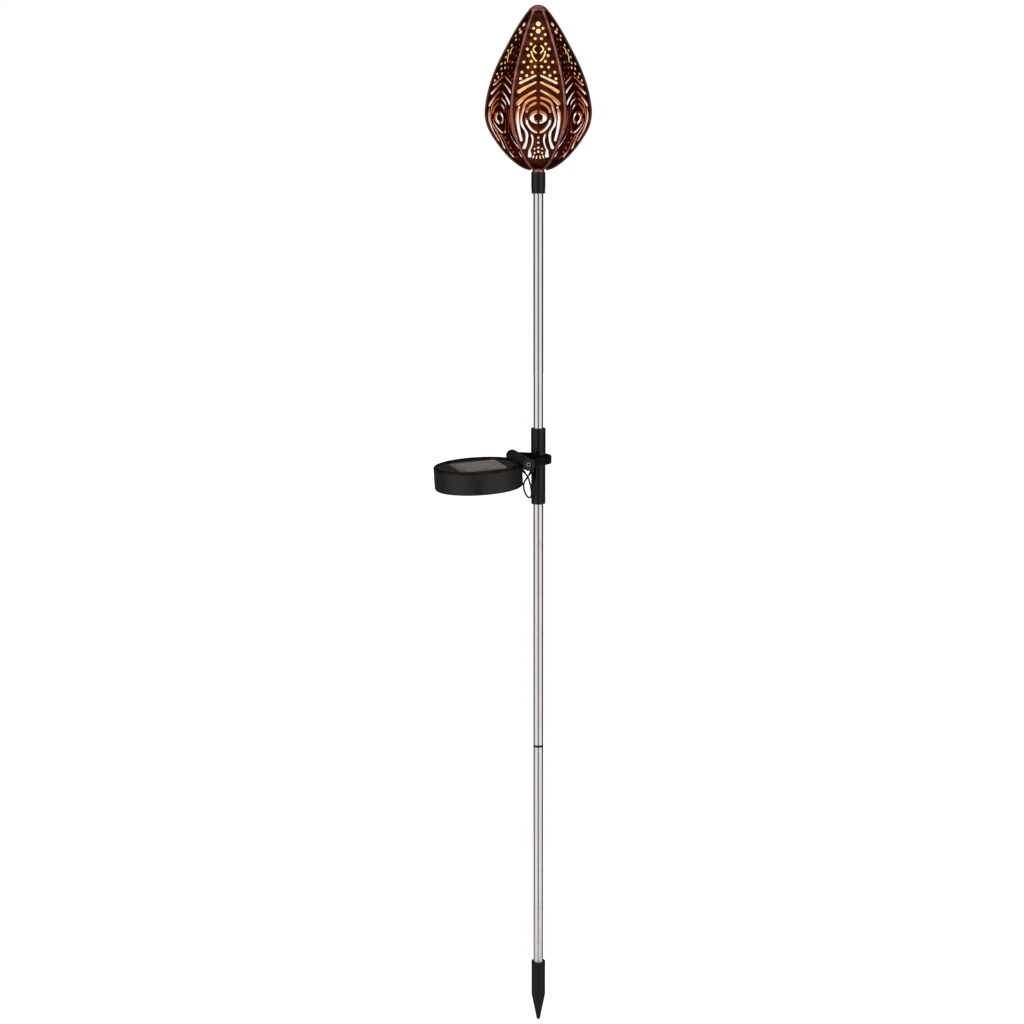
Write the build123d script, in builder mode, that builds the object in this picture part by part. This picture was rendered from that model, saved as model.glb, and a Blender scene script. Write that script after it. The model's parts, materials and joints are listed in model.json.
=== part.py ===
from build123d import *
import os
from math import cos, pi, radians, sin, tan

# A solar garden torch: a six-sided perforated lantern on a three-part pole with a ground spike, and a
# round solar panel hinged on a yoke half way up. Millimetres and degrees.
# The pole stands on Z and the ground is z = 0, at the top of the spike's socket. The panel lies
# towards -X, and its hinge runs along Y.

os.makedirs("parts", exist_ok=True)

# ---- Fits ----
PUSH_GAP = 0.05  # radial gap of a push fit
TURN_GAP = 0.06  # radial gap of a fit that turns or slides
FREE_GAP = 0.5  # gap between faces that pass each other

# ---- Pole ----
TUBE_RADIUS = 5.0
UPPER_TUBE_RADIUS = 4.75
TUBE_WALL = 0.6
LOWER_TUBE_LENGTH = 262.5
MIDDLE_TUBE_LENGTH = 262.5
UPPER_TUBE_LENGTH = 262.5
COUPLER_RING_HEIGHT = 2.3
COUPLER_LOWER_PLUG = 30.0
COUPLER_UPPER_PLUG = 25.0
COUPLER_CHAMFER = 0.8

# ---- Ground spike ----
SPIKE_RADIUS = 7.1
SPIKE_BODY_LENGTH = 36.4
SPIKE_CONE_LENGTH = 28.1
SPIKE_TIP_RADIUS = 1.9
SPIKE_SOCKET_DEPTH = 31.0
SPIKE_MOUTH_ROUNDING = 0.7

# ---- Connector sleeve ----
SLEEVE_LOWER_RADIUS = 7.0
SLEEVE_UPPER_RADIUS = 7.2
SLEEVE_LENGTH = 75.0
SLEEVE_LOWER_SOCKET = 15.7
SLEEVE_UPPER_SOCKET = 21.8
SLEEVE_STOP_WEB = 2.4
SLEEVE_PASSAGE_RADIUS = 3.0
SLEEVE_END_ROUNDING = 0.7

# ---- Panel yoke ----
HINGE_REACH = 18.4  # pole axis to hinge axis
HINGE_OVER_SLEEVE_FOOT = 44.2
YOKE_BAND_HEIGHT = 8.4
YOKE_BAND_ROUNDING = 1.4
YOKE_BAND_THICKNESS = 2.2
YOKE_APEX_RADIUS = 13.0
YOKE_ARM_TIP_RADIUS = 1.0
YOKE_ARM_INSET = 2.2  # the arms end this far inside the ears' outer faces
YOKE_OPENING = 12.9  # between the ears the band is open beyond this distance from the pole
YOKE_FLOOR_REACH = 11.4
YOKE_EAR_RADIUS = 6.1
YOKE_FRONT_EAR_FACE = 30.4  # hinge middle to the front ear's outer face
YOKE_BACK_EAR_FACE = 30.4
YOKE_FRONT_EAR_THICKNESS = 12.0
YOKE_BACK_EAR_THICKNESS = 8.0
YOKE_EAR_ROUNDING = 0.6
YOKE_FLOOR_THICKNESS = 1.6
YOKE_HUB_WALL = 1.7
YOKE_HUB_HEIGHT = 3.4
SNAP_BEAD_RADIUS = 7.2
SNAP_BEAD_HEIGHT = 0.7

# ---- Hinge ----
BOLT_RADIUS = 1.5
BOLT_HEAD_RADIUS = 2.1
BOLT_HEAD_HEIGHT = 1.8
BOLT_HEAD_POCKET_RADIUS = 2.9
BOLT_HEAD_POCKET_DEPTH = 2.6
BOLT_DRIVE_WIDTH = 0.7
BOLT_DRIVE_DEPTH = 1.0
NUT_ACROSS_FLATS = 5.5
NUT_THICKNESS = 2.4
NUT_POCKET_DEPTH = 2.8
BOLT_STAND_OUT = 0.2  # bolt end beyond the nut
WASHER_RADIUS = 5.2
WASHER_THICKNESS = 0.5
KNUCKLE_RADIUS = 6.0
EAR_CLEARANCE = 0.35  # panel to the yoke's ears

# ---- Solar panel ----
PANEL_RADIUS = 43.0
PANEL_THICKNESS = 23.0
PANEL_DROOP = 3.0  # the panel's outer end hangs this far below level
PANEL_WALL = 2.0
BEZEL_HEIGHT = 2.6
BEZEL_ROUNDING = 1.3
BEZEL_LIP_WIDTH = 1.8
BEZEL_LEDGE_WIDTH = 3.4
WINDOW_THICKNESS = 1.0
WINDOW_DEPTH = 0.15  # how far the window lies below the bezel's rim
CELL_SIDE = 46.0
CELL_THICKNESS = 1.4
CELL_GAP = 0.1  # window to cell
DECK_THICKNESS = 1.4
COVER_HEIGHT = 9.0
COVER_FLOOR = 2.0
COVER_ROUNDING = 2.2
SEAL_WIDTH = 0.9
SEAL_HEIGHT = 0.8
COVER_SCREW_INSET = 8.0
COVER_SCREW_TURN = 45.0
COVER_SCREW_RADIUS = 1.2
COVER_SCREW_HEAD_RADIUS = 2.4
COVER_SCREW_HEAD_HEIGHT = 1.7
COVER_SCREW_HEAD_GAP = 0.2
COVER_SCREW_LENGTH = 8.0
COVER_SCREWS = 4
COVER_POST_RADIUS = 3.0
COVER_BOSS_RADIUS = 3.8
COVER_BOSS_HEIGHT = 3.0

# ---- Panel electrics ----
BATTERY_RADIUS = 5.25
BATTERY_LENGTH = 43.3
BATTERY_BUTTON_RADIUS = 1.9
BATTERY_BUTTON_HEIGHT = 1.2
BATTERY_BEFORE_MIDDLE = 11.0  # towards the hinge from the panel's middle
CRADLE_FLOOR = 0.8
CRADLE_SIDE_WALL = 1.2
CRADLE_SIDE_HEIGHT = 4.0
CRADLE_END_WALL = 1.4
CRADLE_END_HEIGHT = 9.6
CRADLE_SIDE_GAP = 0.3
CONTACT_THICKNESS = 0.4
CONTACT_SIDE = 8.0
LEAF_DEPTH = 4.0  # battery's flat end to its contact plate
LEAF_WIDTH = 5.0
LEAF_HALF_HEIGHT = 3.4
BOARD_LENGTH = 26.0
BOARD_WIDTH = 18.0
BOARD_THICKNESS = 1.2
BOARD_BEYOND_MIDDLE = 17.0  # away from the hinge
BOARD_STAND_HEIGHT = 3.6
BOARD_STAND_RADIUS = 1.8
BOARD_STAND_SPREAD = 12.0
BOARD_STAND_FROM_MIDDLE = 10.0
CHIP_LENGTH = 5.0
CHIP_WIDTH = 4.0
CHIP_HEIGHT = 1.5
COIL_RADIUS = 2.2
COIL_HEIGHT = 3.0
PART_SPREAD = 5.0  # chip and coil to either side of the board's middle
SWITCH_BODY_LENGTH = 8.8
SWITCH_BODY_WIDTH = 4.4
SWITCH_WALL = 0.8
KNOB_LENGTH = 2.6
KNOB_WIDTH = 1.8
KNOB_OUT = 0.7  # how far the knob stands out of the cover
KNOB_TRAVEL = 2.4
KNOB_CLEARANCE = 0.2
SLIDER_LENGTH = 4.2
SLIDER_WIDTH = 2.4
SLIDER_HEIGHT = 1.8
SLIDER_LIFT = 0.1  # slider over the cover's floor
SWITCH_FROM_BOARD_MIDDLE = 6.0

# ---- Cable ----
CABLE_DIAMETER = 1.8
LEAD_DIAMETER = 1.2
GROMMET_RADIUS = 1.9
GROMMET_BOOT_RADIUS = 1.6
GROMMET_ROUNDING = 0.35
GROMMET_PLUG_IN = 0.6  # the panel grommet's plug stands this far inside the wall
GROMMET_PLUG_OUT = 1.4
GROMMET_BOOT_OVERLAP = 0.2
SLEEVE_GROMMET_LENGTH = 8.8
CABLE_ROUTE = [  # (x, y, height over the sleeve's foot), from the panel to the sleeve
    (-15.4, -0.6, 33.0),
    (-11.2, -0.2, 28.6),
    (-9.8, -4.4, 21.6),
    (-9.2, -7.7, 14.6),
    (-8.7, -5.4, 7.8),
    (-9.9, 0.2, 6.0),
    (-12.0, 4.8, 9.6),
    (-13.9, 4.6, 16.0),
    (-15.0, -0.8, 21.8),
    (-12.6, -4.9, 27.6),
    (-8.4, -3.1, 32.2),
]
POLE_LEAD_START = 4.2  # straight on from the sleeve's grommet
POLE_LEAD_UNDER_TUBE = 5.3
POLE_LEAD_SWAYS = [  # (x, y, share of the upper tube's length)
    (-0.5, -0.5, 0.03),
    (0.4, 0.2, 0.085),
    (0.8, 0.6, 0.17),
    (-0.9, 0.7, 0.37),
    (0.9, -0.8, 0.59),
    (-0.8, 0.6, 0.80),
    (0.3, -0.2, 0.96),
]
PANEL_LEAD_OUT = 6.4  # straight on from the panel's grommet
PANEL_LEAD_SWAYS = [  # (distance beyond the battery's axis, across), over the battery
    (-11.0, 0.2),
    (1.0, -0.8),
    (10.0, -0.3),
]
PANEL_LEAD_BEND = 13.0  # the lead turns down this far before the board's middle
PANEL_LEAD_FOOT = 9.7
PANEL_LEAD_ACROSS = 0.8
PANEL_LEAD_RISE = 4.5  # upright run over the board

# ---- Head collar and ferrule ----
COLLAR_RADIUS = 6.75
COLLAR_FOOT_RADIUS = 6.55
COLLAR_FOOT_HEIGHT = 5.0
COLLAR_HEIGHT = 20.2
COLLAR_SOCKET_DEPTH = 15.6
COLLAR_ROUNDING = 1.0
FERRULE_RADIUS = 5.8
FERRULE_LIP_HEIGHT = 2.3  # below the lantern's foot
FERRULE_NECK_HEIGHT = 2.3  # above it, up to the flange
FERRULE_FLANGE_RADIUS = 8.5
FERRULE_FLANGE_THICKNESS = 1.0

# ---- Lantern ----
SIDES = 6
LANTERN_TURN = 16.6  # a petal's middle is turned this far from the hinge direction
SHEET = 0.8
SEAM_RADIUS = 1.3
SEAM_GAP = 0.05
CORNER_OUTLINE = [  # (radius, height) of a lantern corner, from the ferrule up
    (7.0, 0.4),
    (16.3, 3.7),
    (27.6, 12.7),
    (44.6, 35.0),
    (49.2, 57.0),
    (44.4, 79.3),
    (35.3, 101.2),
    (23.5, 123.0),
    (8.2, 145.8),
]
CORNER_START_ANGLE = 7.4  # the outline's slope at its foot, seen at a corner
PETAL_START_ANGLE = 9.6  # and seen at a petal's middle
CAP_SPIGOT_RADIUS = 6.0
CAP_SPIGOT_LENGTH = 5.0
CAP_BAND_RADIUS = 9.5
CAP_BAND_HEIGHT = 1.3
CAP_DOME_RADIUS = 9.0
CAP_DOME_HEIGHT = 4.9
LANTERN_TRIM = 0.8  # petals and seams are cut level this far below their outline's end

# ---- Light source ----
HOLDER_STEM_RADIUS = 3.5
HOLDER_STEM_LENGTH = 8.6
HOLDER_RADIUS = 8.0
HOLDER_HEIGHT = 5.5
HOLDER_BORE_RADIUS = 1.2
LED_BOARD_RADIUS = 7.0
LED_BOARD_THICKNESS = 1.2
LENS_RADIUS = 4.0
LENS_BARREL = 2.5

# ---- Places that follow from the sizes above ----
LOWER_TUBE_FOOT = -SPIKE_SOCKET_DEPTH
JOINT_HEIGHT = LOWER_TUBE_FOOT + LOWER_TUBE_LENGTH
MIDDLE_TUBE_FOOT = JOINT_HEIGHT + COUPLER_RING_HEIGHT
MIDDLE_TUBE_TOP = MIDDLE_TUBE_FOOT + MIDDLE_TUBE_LENGTH
SLEEVE_FOOT = MIDDLE_TUBE_TOP - SLEEVE_LOWER_SOCKET
SLEEVE_TOP = SLEEVE_FOOT + SLEEVE_LENGTH
UPPER_TUBE_FOOT = SLEEVE_TOP - SLEEVE_UPPER_SOCKET
UPPER_TUBE_TOP = UPPER_TUBE_FOOT + UPPER_TUBE_LENGTH
PASSAGE_FOOT = MIDDLE_TUBE_TOP + SLEEVE_STOP_WEB
COLLAR_FOOT = UPPER_TUBE_TOP - COLLAR_SOCKET_DEPTH
COLLAR_TOP = COLLAR_FOOT + COLLAR_HEIGHT
LANTERN_FOOT = COLLAR_TOP + FERRULE_LIP_HEIGHT
HINGE_HEIGHT = SLEEVE_FOOT + HINGE_OVER_SLEEVE_FOOT
YOKE_FOOT = HINGE_HEIGHT - YOKE_BAND_HEIGHT / 2
HUB_TOP = YOKE_FOOT + YOKE_HUB_HEIGHT
KNUCKLE_FRONT = YOKE_FRONT_EAR_FACE - YOKE_FRONT_EAR_THICKNESS - WASHER_THICKNESS
KNUCKLE_BACK = YOKE_BACK_EAR_FACE - YOKE_BACK_EAR_THICKNESS - WASHER_THICKNESS
HOUSING_TOP = -BEZEL_HEIGHT
COVER_SCREW_CIRCLE = PANEL_RADIUS - COVER_SCREW_INSET
BATTERY_FROM_HINGE = PANEL_RADIUS - BATTERY_BEFORE_MIDDLE
BOARD_FROM_HINGE = PANEL_RADIUS + BOARD_BEYOND_MIDDLE
COVER_TOP = COVER_HEIGHT - PANEL_THICKNESS
COVER_FLOOR_TOP = COVER_FLOOR - PANEL_THICKNESS
WINDOW_FOOT = -WINDOW_DEPTH - WINDOW_THICKNESS
DECK_TOP = WINDOW_FOOT - CELL_GAP - CELL_THICKNESS
DECK_FOOT = DECK_TOP - DECK_THICKNESS
BOSS_TOP = COVER_FLOOR_TOP + COVER_BOSS_HEIGHT
BOARD_FOOT = COVER_FLOOR_TOP + BOARD_STAND_HEIGHT
BOARD_TOP = BOARD_FOOT + BOARD_THICKNESS
BATTERY_AXIS = COVER_FLOOR_TOP + CRADLE_FLOOR + BATTERY_RADIUS
FLANGE_TOP = LANTERN_FOOT + FERRULE_NECK_HEIGHT + FERRULE_FLANGE_THICKNESS
HOLDER_TOP = FLANGE_TOP + HOLDER_HEIGHT
LED_BOARD_TOP = HOLDER_TOP + LED_BOARD_THICKNESS
LANTERN_TOP = LANTERN_FOOT + CORNER_OUTLINE[-1][1] - LANTERN_TRIM
CAP_BAND_FOOT = LANTERN_TOP + SEAM_GAP
CABLE_POINTS = [(x, y, SLEEVE_FOOT + height) for x, y, height in CABLE_ROUTE]

droop = radians(PANEL_DROOP)
panel = Plane(
    origin=(-HINGE_REACH, 0, HINGE_HEIGHT),
    x_dir=(-cos(droop), 0, -sin(droop)),
    z_dir=(-sin(droop), 0, cos(droop)),
)


def panel_plane(height, along=PANEL_RADIUS, across=0.0):
    """The panel's own level plane at a height over its rim, at a point measured from the hinge."""
    return Plane(
        origin=panel.from_local_coords(Vector(along, across, height)),
        x_dir=panel.x_dir,
        z_dir=panel.z_dir,
    )


def across_plane(along, across, height):
    """A plane across the panel's width, facing the panel's own +Y."""
    return Plane(
        origin=panel.from_local_coords(Vector(along, across, height)),
        x_dir=panel.x_dir,
        z_dir=panel.y_dir,
    )


def hinge_plane(station):
    """The plane across the hinge axis at Y = station, facing +Y."""
    return Plane(origin=(-HINGE_REACH, station, HINGE_HEIGHT), x_dir=(-1, 0, 0), z_dir=(0, 1, 0))


def save(builder, name):
    builder.part.label = name
    export_step(builder.part, f"parts/{name}.step")


def cord_radii(points):
    """The bend radius at each inner point, as large as its two runs allow."""
    radii = []
    for before, here, after in zip(points, points[1:], points[2:]):
        into = Vector(*here) - Vector(*before)
        out = Vector(*after) - Vector(*here)
        turn = radians(into.get_angle(out))
        radii.append(0.45 * min(into.length, out.length) / tan(turn / 2))
    return radii


def make_cord(points, diameter, name):
    """A round cord of straight runs joined by tangent arcs."""
    radii = cord_radii(points)
    with BuildPart() as cord:
        with BuildLine() as route:
            FilletPolyline(*points, radius=radii)
        with BuildSketch(route.line ^ 0):
            Circle(diameter / 2)
        sweep(path=route.line)
    length = route.wire().length
    share = cord.part.volume / (pi * diameter**2 / 4 * length)
    rounded = [round(radius, 1) for radius in radii]
    print(f"{name}: length {length:.1f}, volume over section times length {share:.4f}, radii {rounded}")
    save(cord, name)


# ---- Ground spike ----
with BuildPart() as ground_spike:
    with BuildSketch(Plane.XZ):
        with BuildLine():
            tip_z = -SPIKE_BODY_LENGTH - SPIKE_CONE_LENGTH
            Polyline(
                (0, 0),
                (SPIKE_RADIUS, 0),
                (SPIKE_RADIUS, -SPIKE_BODY_LENGTH),
                (SPIKE_TIP_RADIUS, tip_z + SPIKE_TIP_RADIUS),
            )
            CenterArc((0, tip_z + SPIKE_TIP_RADIUS), SPIKE_TIP_RADIUS, 270, 90)
            Line((0, tip_z), (0, 0))
        make_face()
    revolve(axis=Axis.Z)
    with Locations((0, 0, 0)):
        Hole(TUBE_RADIUS + TURN_GAP, depth=SPIKE_SOCKET_DEPTH)
    mouth = ground_spike.edges().filter_by(GeomType.CIRCLE).group_by(Axis.Z)[-1]
    fillet(mouth.sort_by(SortBy.RADIUS)[0], SPIKE_MOUTH_ROUNDING)
save(ground_spike, "ground_spike")


# ---- Tubes ----
def make_tube(radius, foot, length, name):
    with BuildPart() as tube:
        with BuildSketch(Plane.XY.offset(foot)):
            Circle(radius)
            Circle(radius - TUBE_WALL, mode=Mode.SUBTRACT)
        extrude(amount=length)
    save(tube, name)


make_tube(TUBE_RADIUS, LOWER_TUBE_FOOT, LOWER_TUBE_LENGTH, "lower_tube")
make_tube(TUBE_RADIUS, MIDDLE_TUBE_FOOT, MIDDLE_TUBE_LENGTH, "middle_tube")
make_tube(UPPER_TUBE_RADIUS, UPPER_TUBE_FOOT, UPPER_TUBE_LENGTH, "upper_tube")

with BuildPart() as pole_coupler:
    with BuildSketch(Plane.XY.offset(JOINT_HEIGHT)):
        Circle(TUBE_RADIUS)
    extrude(amount=COUPLER_RING_HEIGHT)
    with BuildSketch(Plane.XY.offset(JOINT_HEIGHT)):
        Circle(TUBE_RADIUS - TUBE_WALL - TURN_GAP)
    extrude(amount=-COUPLER_LOWER_PLUG)
    with BuildSketch(Plane.XY.offset(MIDDLE_TUBE_FOOT)):
        Circle(TUBE_RADIUS - TUBE_WALL - PUSH_GAP)
    extrude(amount=COUPLER_UPPER_PLUG)
    plug_ends = pole_coupler.edges().filter_by(GeomType.CIRCLE).sort_by(Axis.Z)
    chamfer([plug_ends[0], plug_ends[-1]], COUPLER_CHAMFER)
save(pole_coupler, "pole_coupler")

# ---- Connector sleeve ----
cable_end = Vector(*CABLE_POINTS[-1])
cable_end_direction = (cable_end - Vector(*CABLE_POINTS[-2])).normalized()
sleeve_grommet_plane = Plane(origin=cable_end, z_dir=cable_end_direction)

with BuildPart() as connector_sleeve:
    with BuildSketch(Plane.XY.offset(SLEEVE_FOOT)):
        Circle(SLEEVE_LOWER_RADIUS)
    extrude(amount=HUB_TOP - SLEEVE_FOOT)
    with BuildSketch(Plane.XY.offset(HUB_TOP)):
        Circle(SLEEVE_UPPER_RADIUS)
    extrude(amount=SLEEVE_TOP - HUB_TOP)
    rims = connector_sleeve.edges().filter_by(GeomType.CIRCLE).sort_by(Axis.Z)
    fillet([rims[0], rims[-1]], SLEEVE_END_ROUNDING)
    with BuildSketch(Plane.XY.offset(YOKE_FOOT - SNAP_BEAD_HEIGHT)):
        Circle(SNAP_BEAD_RADIUS)
    extrude(amount=SNAP_BEAD_HEIGHT)
    with BuildSketch(Plane.XY.offset(SLEEVE_FOOT)):
        Circle(TUBE_RADIUS + TURN_GAP)
    extrude(amount=SLEEVE_LOWER_SOCKET, mode=Mode.SUBTRACT)
    with BuildSketch(Plane.XY.offset(SLEEVE_TOP)):
        Circle(UPPER_TUBE_RADIUS + PUSH_GAP)
    extrude(amount=-SLEEVE_UPPER_SOCKET, mode=Mode.SUBTRACT)
    with BuildSketch(Plane.XY.offset(PASSAGE_FOOT)):
        Circle(SLEEVE_PASSAGE_RADIUS)
    extrude(amount=UPPER_TUBE_FOOT - PASSAGE_FOOT, mode=Mode.SUBTRACT)
    with BuildSketch(sleeve_grommet_plane):
        Circle(GROMMET_RADIUS + PUSH_GAP)
    extrude(amount=SLEEVE_GROMMET_LENGTH + 2 * FREE_GAP, mode=Mode.SUBTRACT)
save(connector_sleeve, "connector_sleeve")

with BuildPart() as sleeve_grommet:
    with BuildSketch(sleeve_grommet_plane):
        Circle(GROMMET_RADIUS)
    extrude(amount=SLEEVE_GROMMET_LENGTH)
    fillet(sleeve_grommet.edges().filter_by(GeomType.CIRCLE).sort_by(Axis.Z)[0], GROMMET_ROUNDING)
save(sleeve_grommet, "sleeve_grommet")




# ---- Panel yoke ----
def draw_yoke_plan():
    """The yoke from above: round the pole on one side and straight to both ears on the other."""
    Circle(YOKE_APEX_RADIUS)
    front = -YOKE_FRONT_EAR_FACE + YOKE_ARM_INSET
    back = YOKE_BACK_EAR_FACE - YOKE_ARM_INSET
    with Locations((-HINGE_REACH, front), (-HINGE_REACH, back)):
        Circle(YOKE_ARM_TIP_RADIUS)
    make_hull()


ear_gap_front = -YOKE_FRONT_EAR_FACE + YOKE_FRONT_EAR_THICKNESS
ear_gap_back = YOKE_BACK_EAR_FACE - YOKE_BACK_EAR_THICKNESS

with BuildPart() as panel_yoke:
    with BuildSketch(Plane.XY.offset(YOKE_FOOT)):
        draw_yoke_plan()
    extrude(amount=YOKE_BAND_HEIGHT)
    fillet(panel_yoke.faces().filter_by(Axis.Z).edges(), YOKE_BAND_ROUNDING)
    with BuildSketch(Plane.XY.offset(YOKE_FOOT)):
        draw_yoke_plan()
        offset(amount=-YOKE_BAND_THICKNESS)
        with Locations((-YOKE_OPENING, ear_gap_front)):
            Rectangle(HINGE_REACH, ear_gap_back - ear_gap_front, align=(Align.MAX, Align.MIN))
    extrude(amount=YOKE_BAND_HEIGHT, mode=Mode.SUBTRACT)
    with BuildSketch(Plane.XY.offset(YOKE_FOOT)):
        draw_yoke_plan()
        offset(amount=-YOKE_BAND_THICKNESS / 2)
        with Locations((-YOKE_FLOOR_REACH, 0)):
            Rectangle(
                YOKE_FLOOR_REACH + YOKE_APEX_RADIUS,
                YOKE_FRONT_EAR_FACE + YOKE_BACK_EAR_FACE,
                align=(Align.MIN, Align.CENTER),
                mode=Mode.INTERSECT,
            )
    extrude(amount=YOKE_FLOOR_THICKNESS)
    with BuildSketch(Plane.XY.offset(YOKE_FOOT)):
        Circle(SLEEVE_LOWER_RADIUS + PUSH_GAP + YOKE_HUB_WALL)
    extrude(amount=YOKE_HUB_HEIGHT)
    with BuildSketch(Plane.XY.offset(YOKE_FOOT)):
        Circle(SLEEVE_LOWER_RADIUS + PUSH_GAP)
    extrude(amount=YOKE_BAND_HEIGHT, mode=Mode.SUBTRACT)
    with BuildSketch(hinge_plane(-YOKE_FRONT_EAR_FACE)):
        Circle(YOKE_EAR_RADIUS)
    extrude(amount=YOKE_FRONT_EAR_THICKNESS)
    with BuildSketch(hinge_plane(ear_gap_back)):
        Circle(YOKE_EAR_RADIUS)
    extrude(amount=YOKE_BACK_EAR_THICKNESS)
    ear_rims = panel_yoke.edges().filter_by(GeomType.CIRCLE).sort_by(Axis.Y)
    fillet([ear_rims[0], ear_rims[-1]], YOKE_EAR_ROUNDING)
    with BuildSketch(hinge_plane(-YOKE_FRONT_EAR_FACE)):
        Circle(BOLT_RADIUS + TURN_GAP)
    extrude(amount=YOKE_FRONT_EAR_FACE + YOKE_BACK_EAR_FACE, mode=Mode.SUBTRACT)
    with BuildSketch(hinge_plane(-YOKE_FRONT_EAR_FACE)):
        Circle(BOLT_HEAD_POCKET_RADIUS)
    extrude(amount=BOLT_HEAD_POCKET_DEPTH, mode=Mode.SUBTRACT)
    with BuildSketch(hinge_plane(YOKE_BACK_EAR_FACE)):
        RegularPolygon(NUT_ACROSS_FLATS / 2 + PUSH_GAP, 6, major_radius=False)
    extrude(amount=-NUT_POCKET_DEPTH, mode=Mode.SUBTRACT)
save(panel_yoke, "panel_yoke")

# ---- Hinge bolt, nut and washers ----
bolt_seat = -YOKE_FRONT_EAR_FACE + BOLT_HEAD_POCKET_DEPTH
nut_seat = YOKE_BACK_EAR_FACE - NUT_POCKET_DEPTH

with BuildPart() as hinge_bolt:
    with BuildSketch(hinge_plane(bolt_seat)):
        Circle(BOLT_HEAD_RADIUS)
    extrude(amount=-BOLT_HEAD_HEIGHT)
    with BuildSketch(hinge_plane(bolt_seat)):
        Circle(BOLT_RADIUS)
    extrude(amount=nut_seat + NUT_THICKNESS + BOLT_STAND_OUT - bolt_seat)
    with BuildSketch(hinge_plane(bolt_seat - BOLT_HEAD_HEIGHT)):
        Rectangle(BOLT_HEAD_RADIUS, BOLT_DRIVE_WIDTH)
        Rectangle(BOLT_DRIVE_WIDTH, BOLT_HEAD_RADIUS)
    extrude(amount=BOLT_DRIVE_DEPTH, mode=Mode.SUBTRACT)
save(hinge_bolt, "hinge_bolt")

with BuildPart() as hinge_nut:
    with BuildSketch(hinge_plane(nut_seat)):
        RegularPolygon(NUT_ACROSS_FLATS / 2, 6, major_radius=False)
        Circle(BOLT_RADIUS + PUSH_GAP, mode=Mode.SUBTRACT)
    extrude(amount=NUT_THICKNESS)
save(hinge_nut, "hinge_nut")

with BuildPart() as hinge_washers:
    with BuildSketch(hinge_plane(ear_gap_front), hinge_plane(KNUCKLE_BACK)):
        Circle(WASHER_RADIUS)
        Circle(BOLT_RADIUS + TURN_GAP, mode=Mode.SUBTRACT)
    extrude(amount=WASHER_THICKNESS)
save(hinge_washers, "hinge_washers")


# ---- Solar panel shell ----
def clear_ears(knuckle_gap=None):
    """Cut the room for the yoke's ears, and for the housing's knuckle where a gap to it is given."""
    stretches = [(-YOKE_FRONT_EAR_FACE - FREE_GAP, -KNUCKLE_FRONT, YOKE_EAR_RADIUS + EAR_CLEARANCE)]
    stretches += [(KNUCKLE_BACK, YOKE_BACK_EAR_FACE + FREE_GAP, YOKE_EAR_RADIUS + EAR_CLEARANCE)]
    if knuckle_gap is not None:
        stretches += [(-KNUCKLE_FRONT, KNUCKLE_BACK, KNUCKLE_RADIUS + knuckle_gap)]
    for start, end, radius in stretches:
        with BuildSketch(hinge_plane(start)) as room:
            Circle(radius)
        extrude(room.sketch, amount=end - start, mode=Mode.SUBTRACT)


panel_up = Axis(panel.origin, panel.z_dir)
cable_start = Vector(*CABLE_POINTS[0])
cable_start_direction = (Vector(*CABLE_POINTS[1]) - cable_start).normalized()
boot_start = panel.to_local_coords(cable_start)
boot_run = panel.to_local_coords(cable_start - cable_start_direction) - boot_start
plug_middle = boot_start - boot_run * (boot_start.X / boot_run.X)
boot_length = -(boot_start.X + GROMMET_PLUG_OUT - GROMMET_BOOT_OVERLAP) / boot_run.X


def wall_plane(inward):
    """The plane across the panel grommet's plug, this far inside the housing's outer face."""
    local = Vector(inward, plug_middle.Y, plug_middle.Z)
    return Plane(
        origin=panel.from_local_coords(local), x_dir=panel.y_dir, z_dir=panel.x_dir
    )


with BuildPart() as panel_housing:
    with BuildSketch(panel_plane(HOUSING_TOP)):
        Circle(PANEL_RADIUS)
        Circle(PANEL_RADIUS - PANEL_WALL, mode=Mode.SUBTRACT)
    extrude(amount=COVER_TOP - HOUSING_TOP)
    with BuildSketch(panel_plane(DECK_TOP)):
        Circle(PANEL_RADIUS - PANEL_WALL)
    extrude(amount=-DECK_THICKNESS)
    with BuildSketch(panel_plane(DECK_FOOT)):
        with PolarLocations(COVER_SCREW_CIRCLE, COVER_SCREWS, start_angle=COVER_SCREW_TURN):
            Circle(COVER_POST_RADIUS)
    extrude(amount=BOSS_TOP - DECK_FOOT)
    with BuildSketch(hinge_plane(-KNUCKLE_FRONT)):
        Circle(KNUCKLE_RADIUS)
    extrude(amount=KNUCKLE_FRONT + KNUCKLE_BACK)
    clear_ears()
    with BuildSketch(hinge_plane(-KNUCKLE_FRONT)):
        Circle(BOLT_RADIUS + TURN_GAP)
    extrude(amount=KNUCKLE_FRONT + KNUCKLE_BACK, mode=Mode.SUBTRACT)
    with BuildSketch(panel_plane(BOSS_TOP)):
        with PolarLocations(COVER_SCREW_CIRCLE, COVER_SCREWS, start_angle=COVER_SCREW_TURN):
            Circle(COVER_SCREW_RADIUS + PUSH_GAP)
    extrude(amount=COVER_SCREW_LENGTH, mode=Mode.SUBTRACT)
    with BuildSketch(wall_plane(-KNUCKLE_RADIUS)):
        Circle(GROMMET_RADIUS + PUSH_GAP)
    extrude(amount=2 * KNUCKLE_RADIUS, mode=Mode.SUBTRACT)
save(panel_housing, "panel_housing")

with BuildPart() as panel_bezel:
    with BuildSketch(panel_plane(HOUSING_TOP)):
        Circle(PANEL_RADIUS)
        Circle(PANEL_RADIUS - BEZEL_LEDGE_WIDTH, mode=Mode.SUBTRACT)
    extrude(amount=BEZEL_HEIGHT)
    fillet(panel_bezel.edges().sort_by(SortBy.LENGTH)[-1:], BEZEL_ROUNDING)
    with BuildSketch(panel_plane(WINDOW_FOOT)):
        Circle(PANEL_RADIUS - BEZEL_LIP_WIDTH)
    extrude(amount=-WINDOW_FOOT, mode=Mode.SUBTRACT)
    clear_ears(PUSH_GAP)
save(panel_bezel, "panel_bezel")

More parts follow.
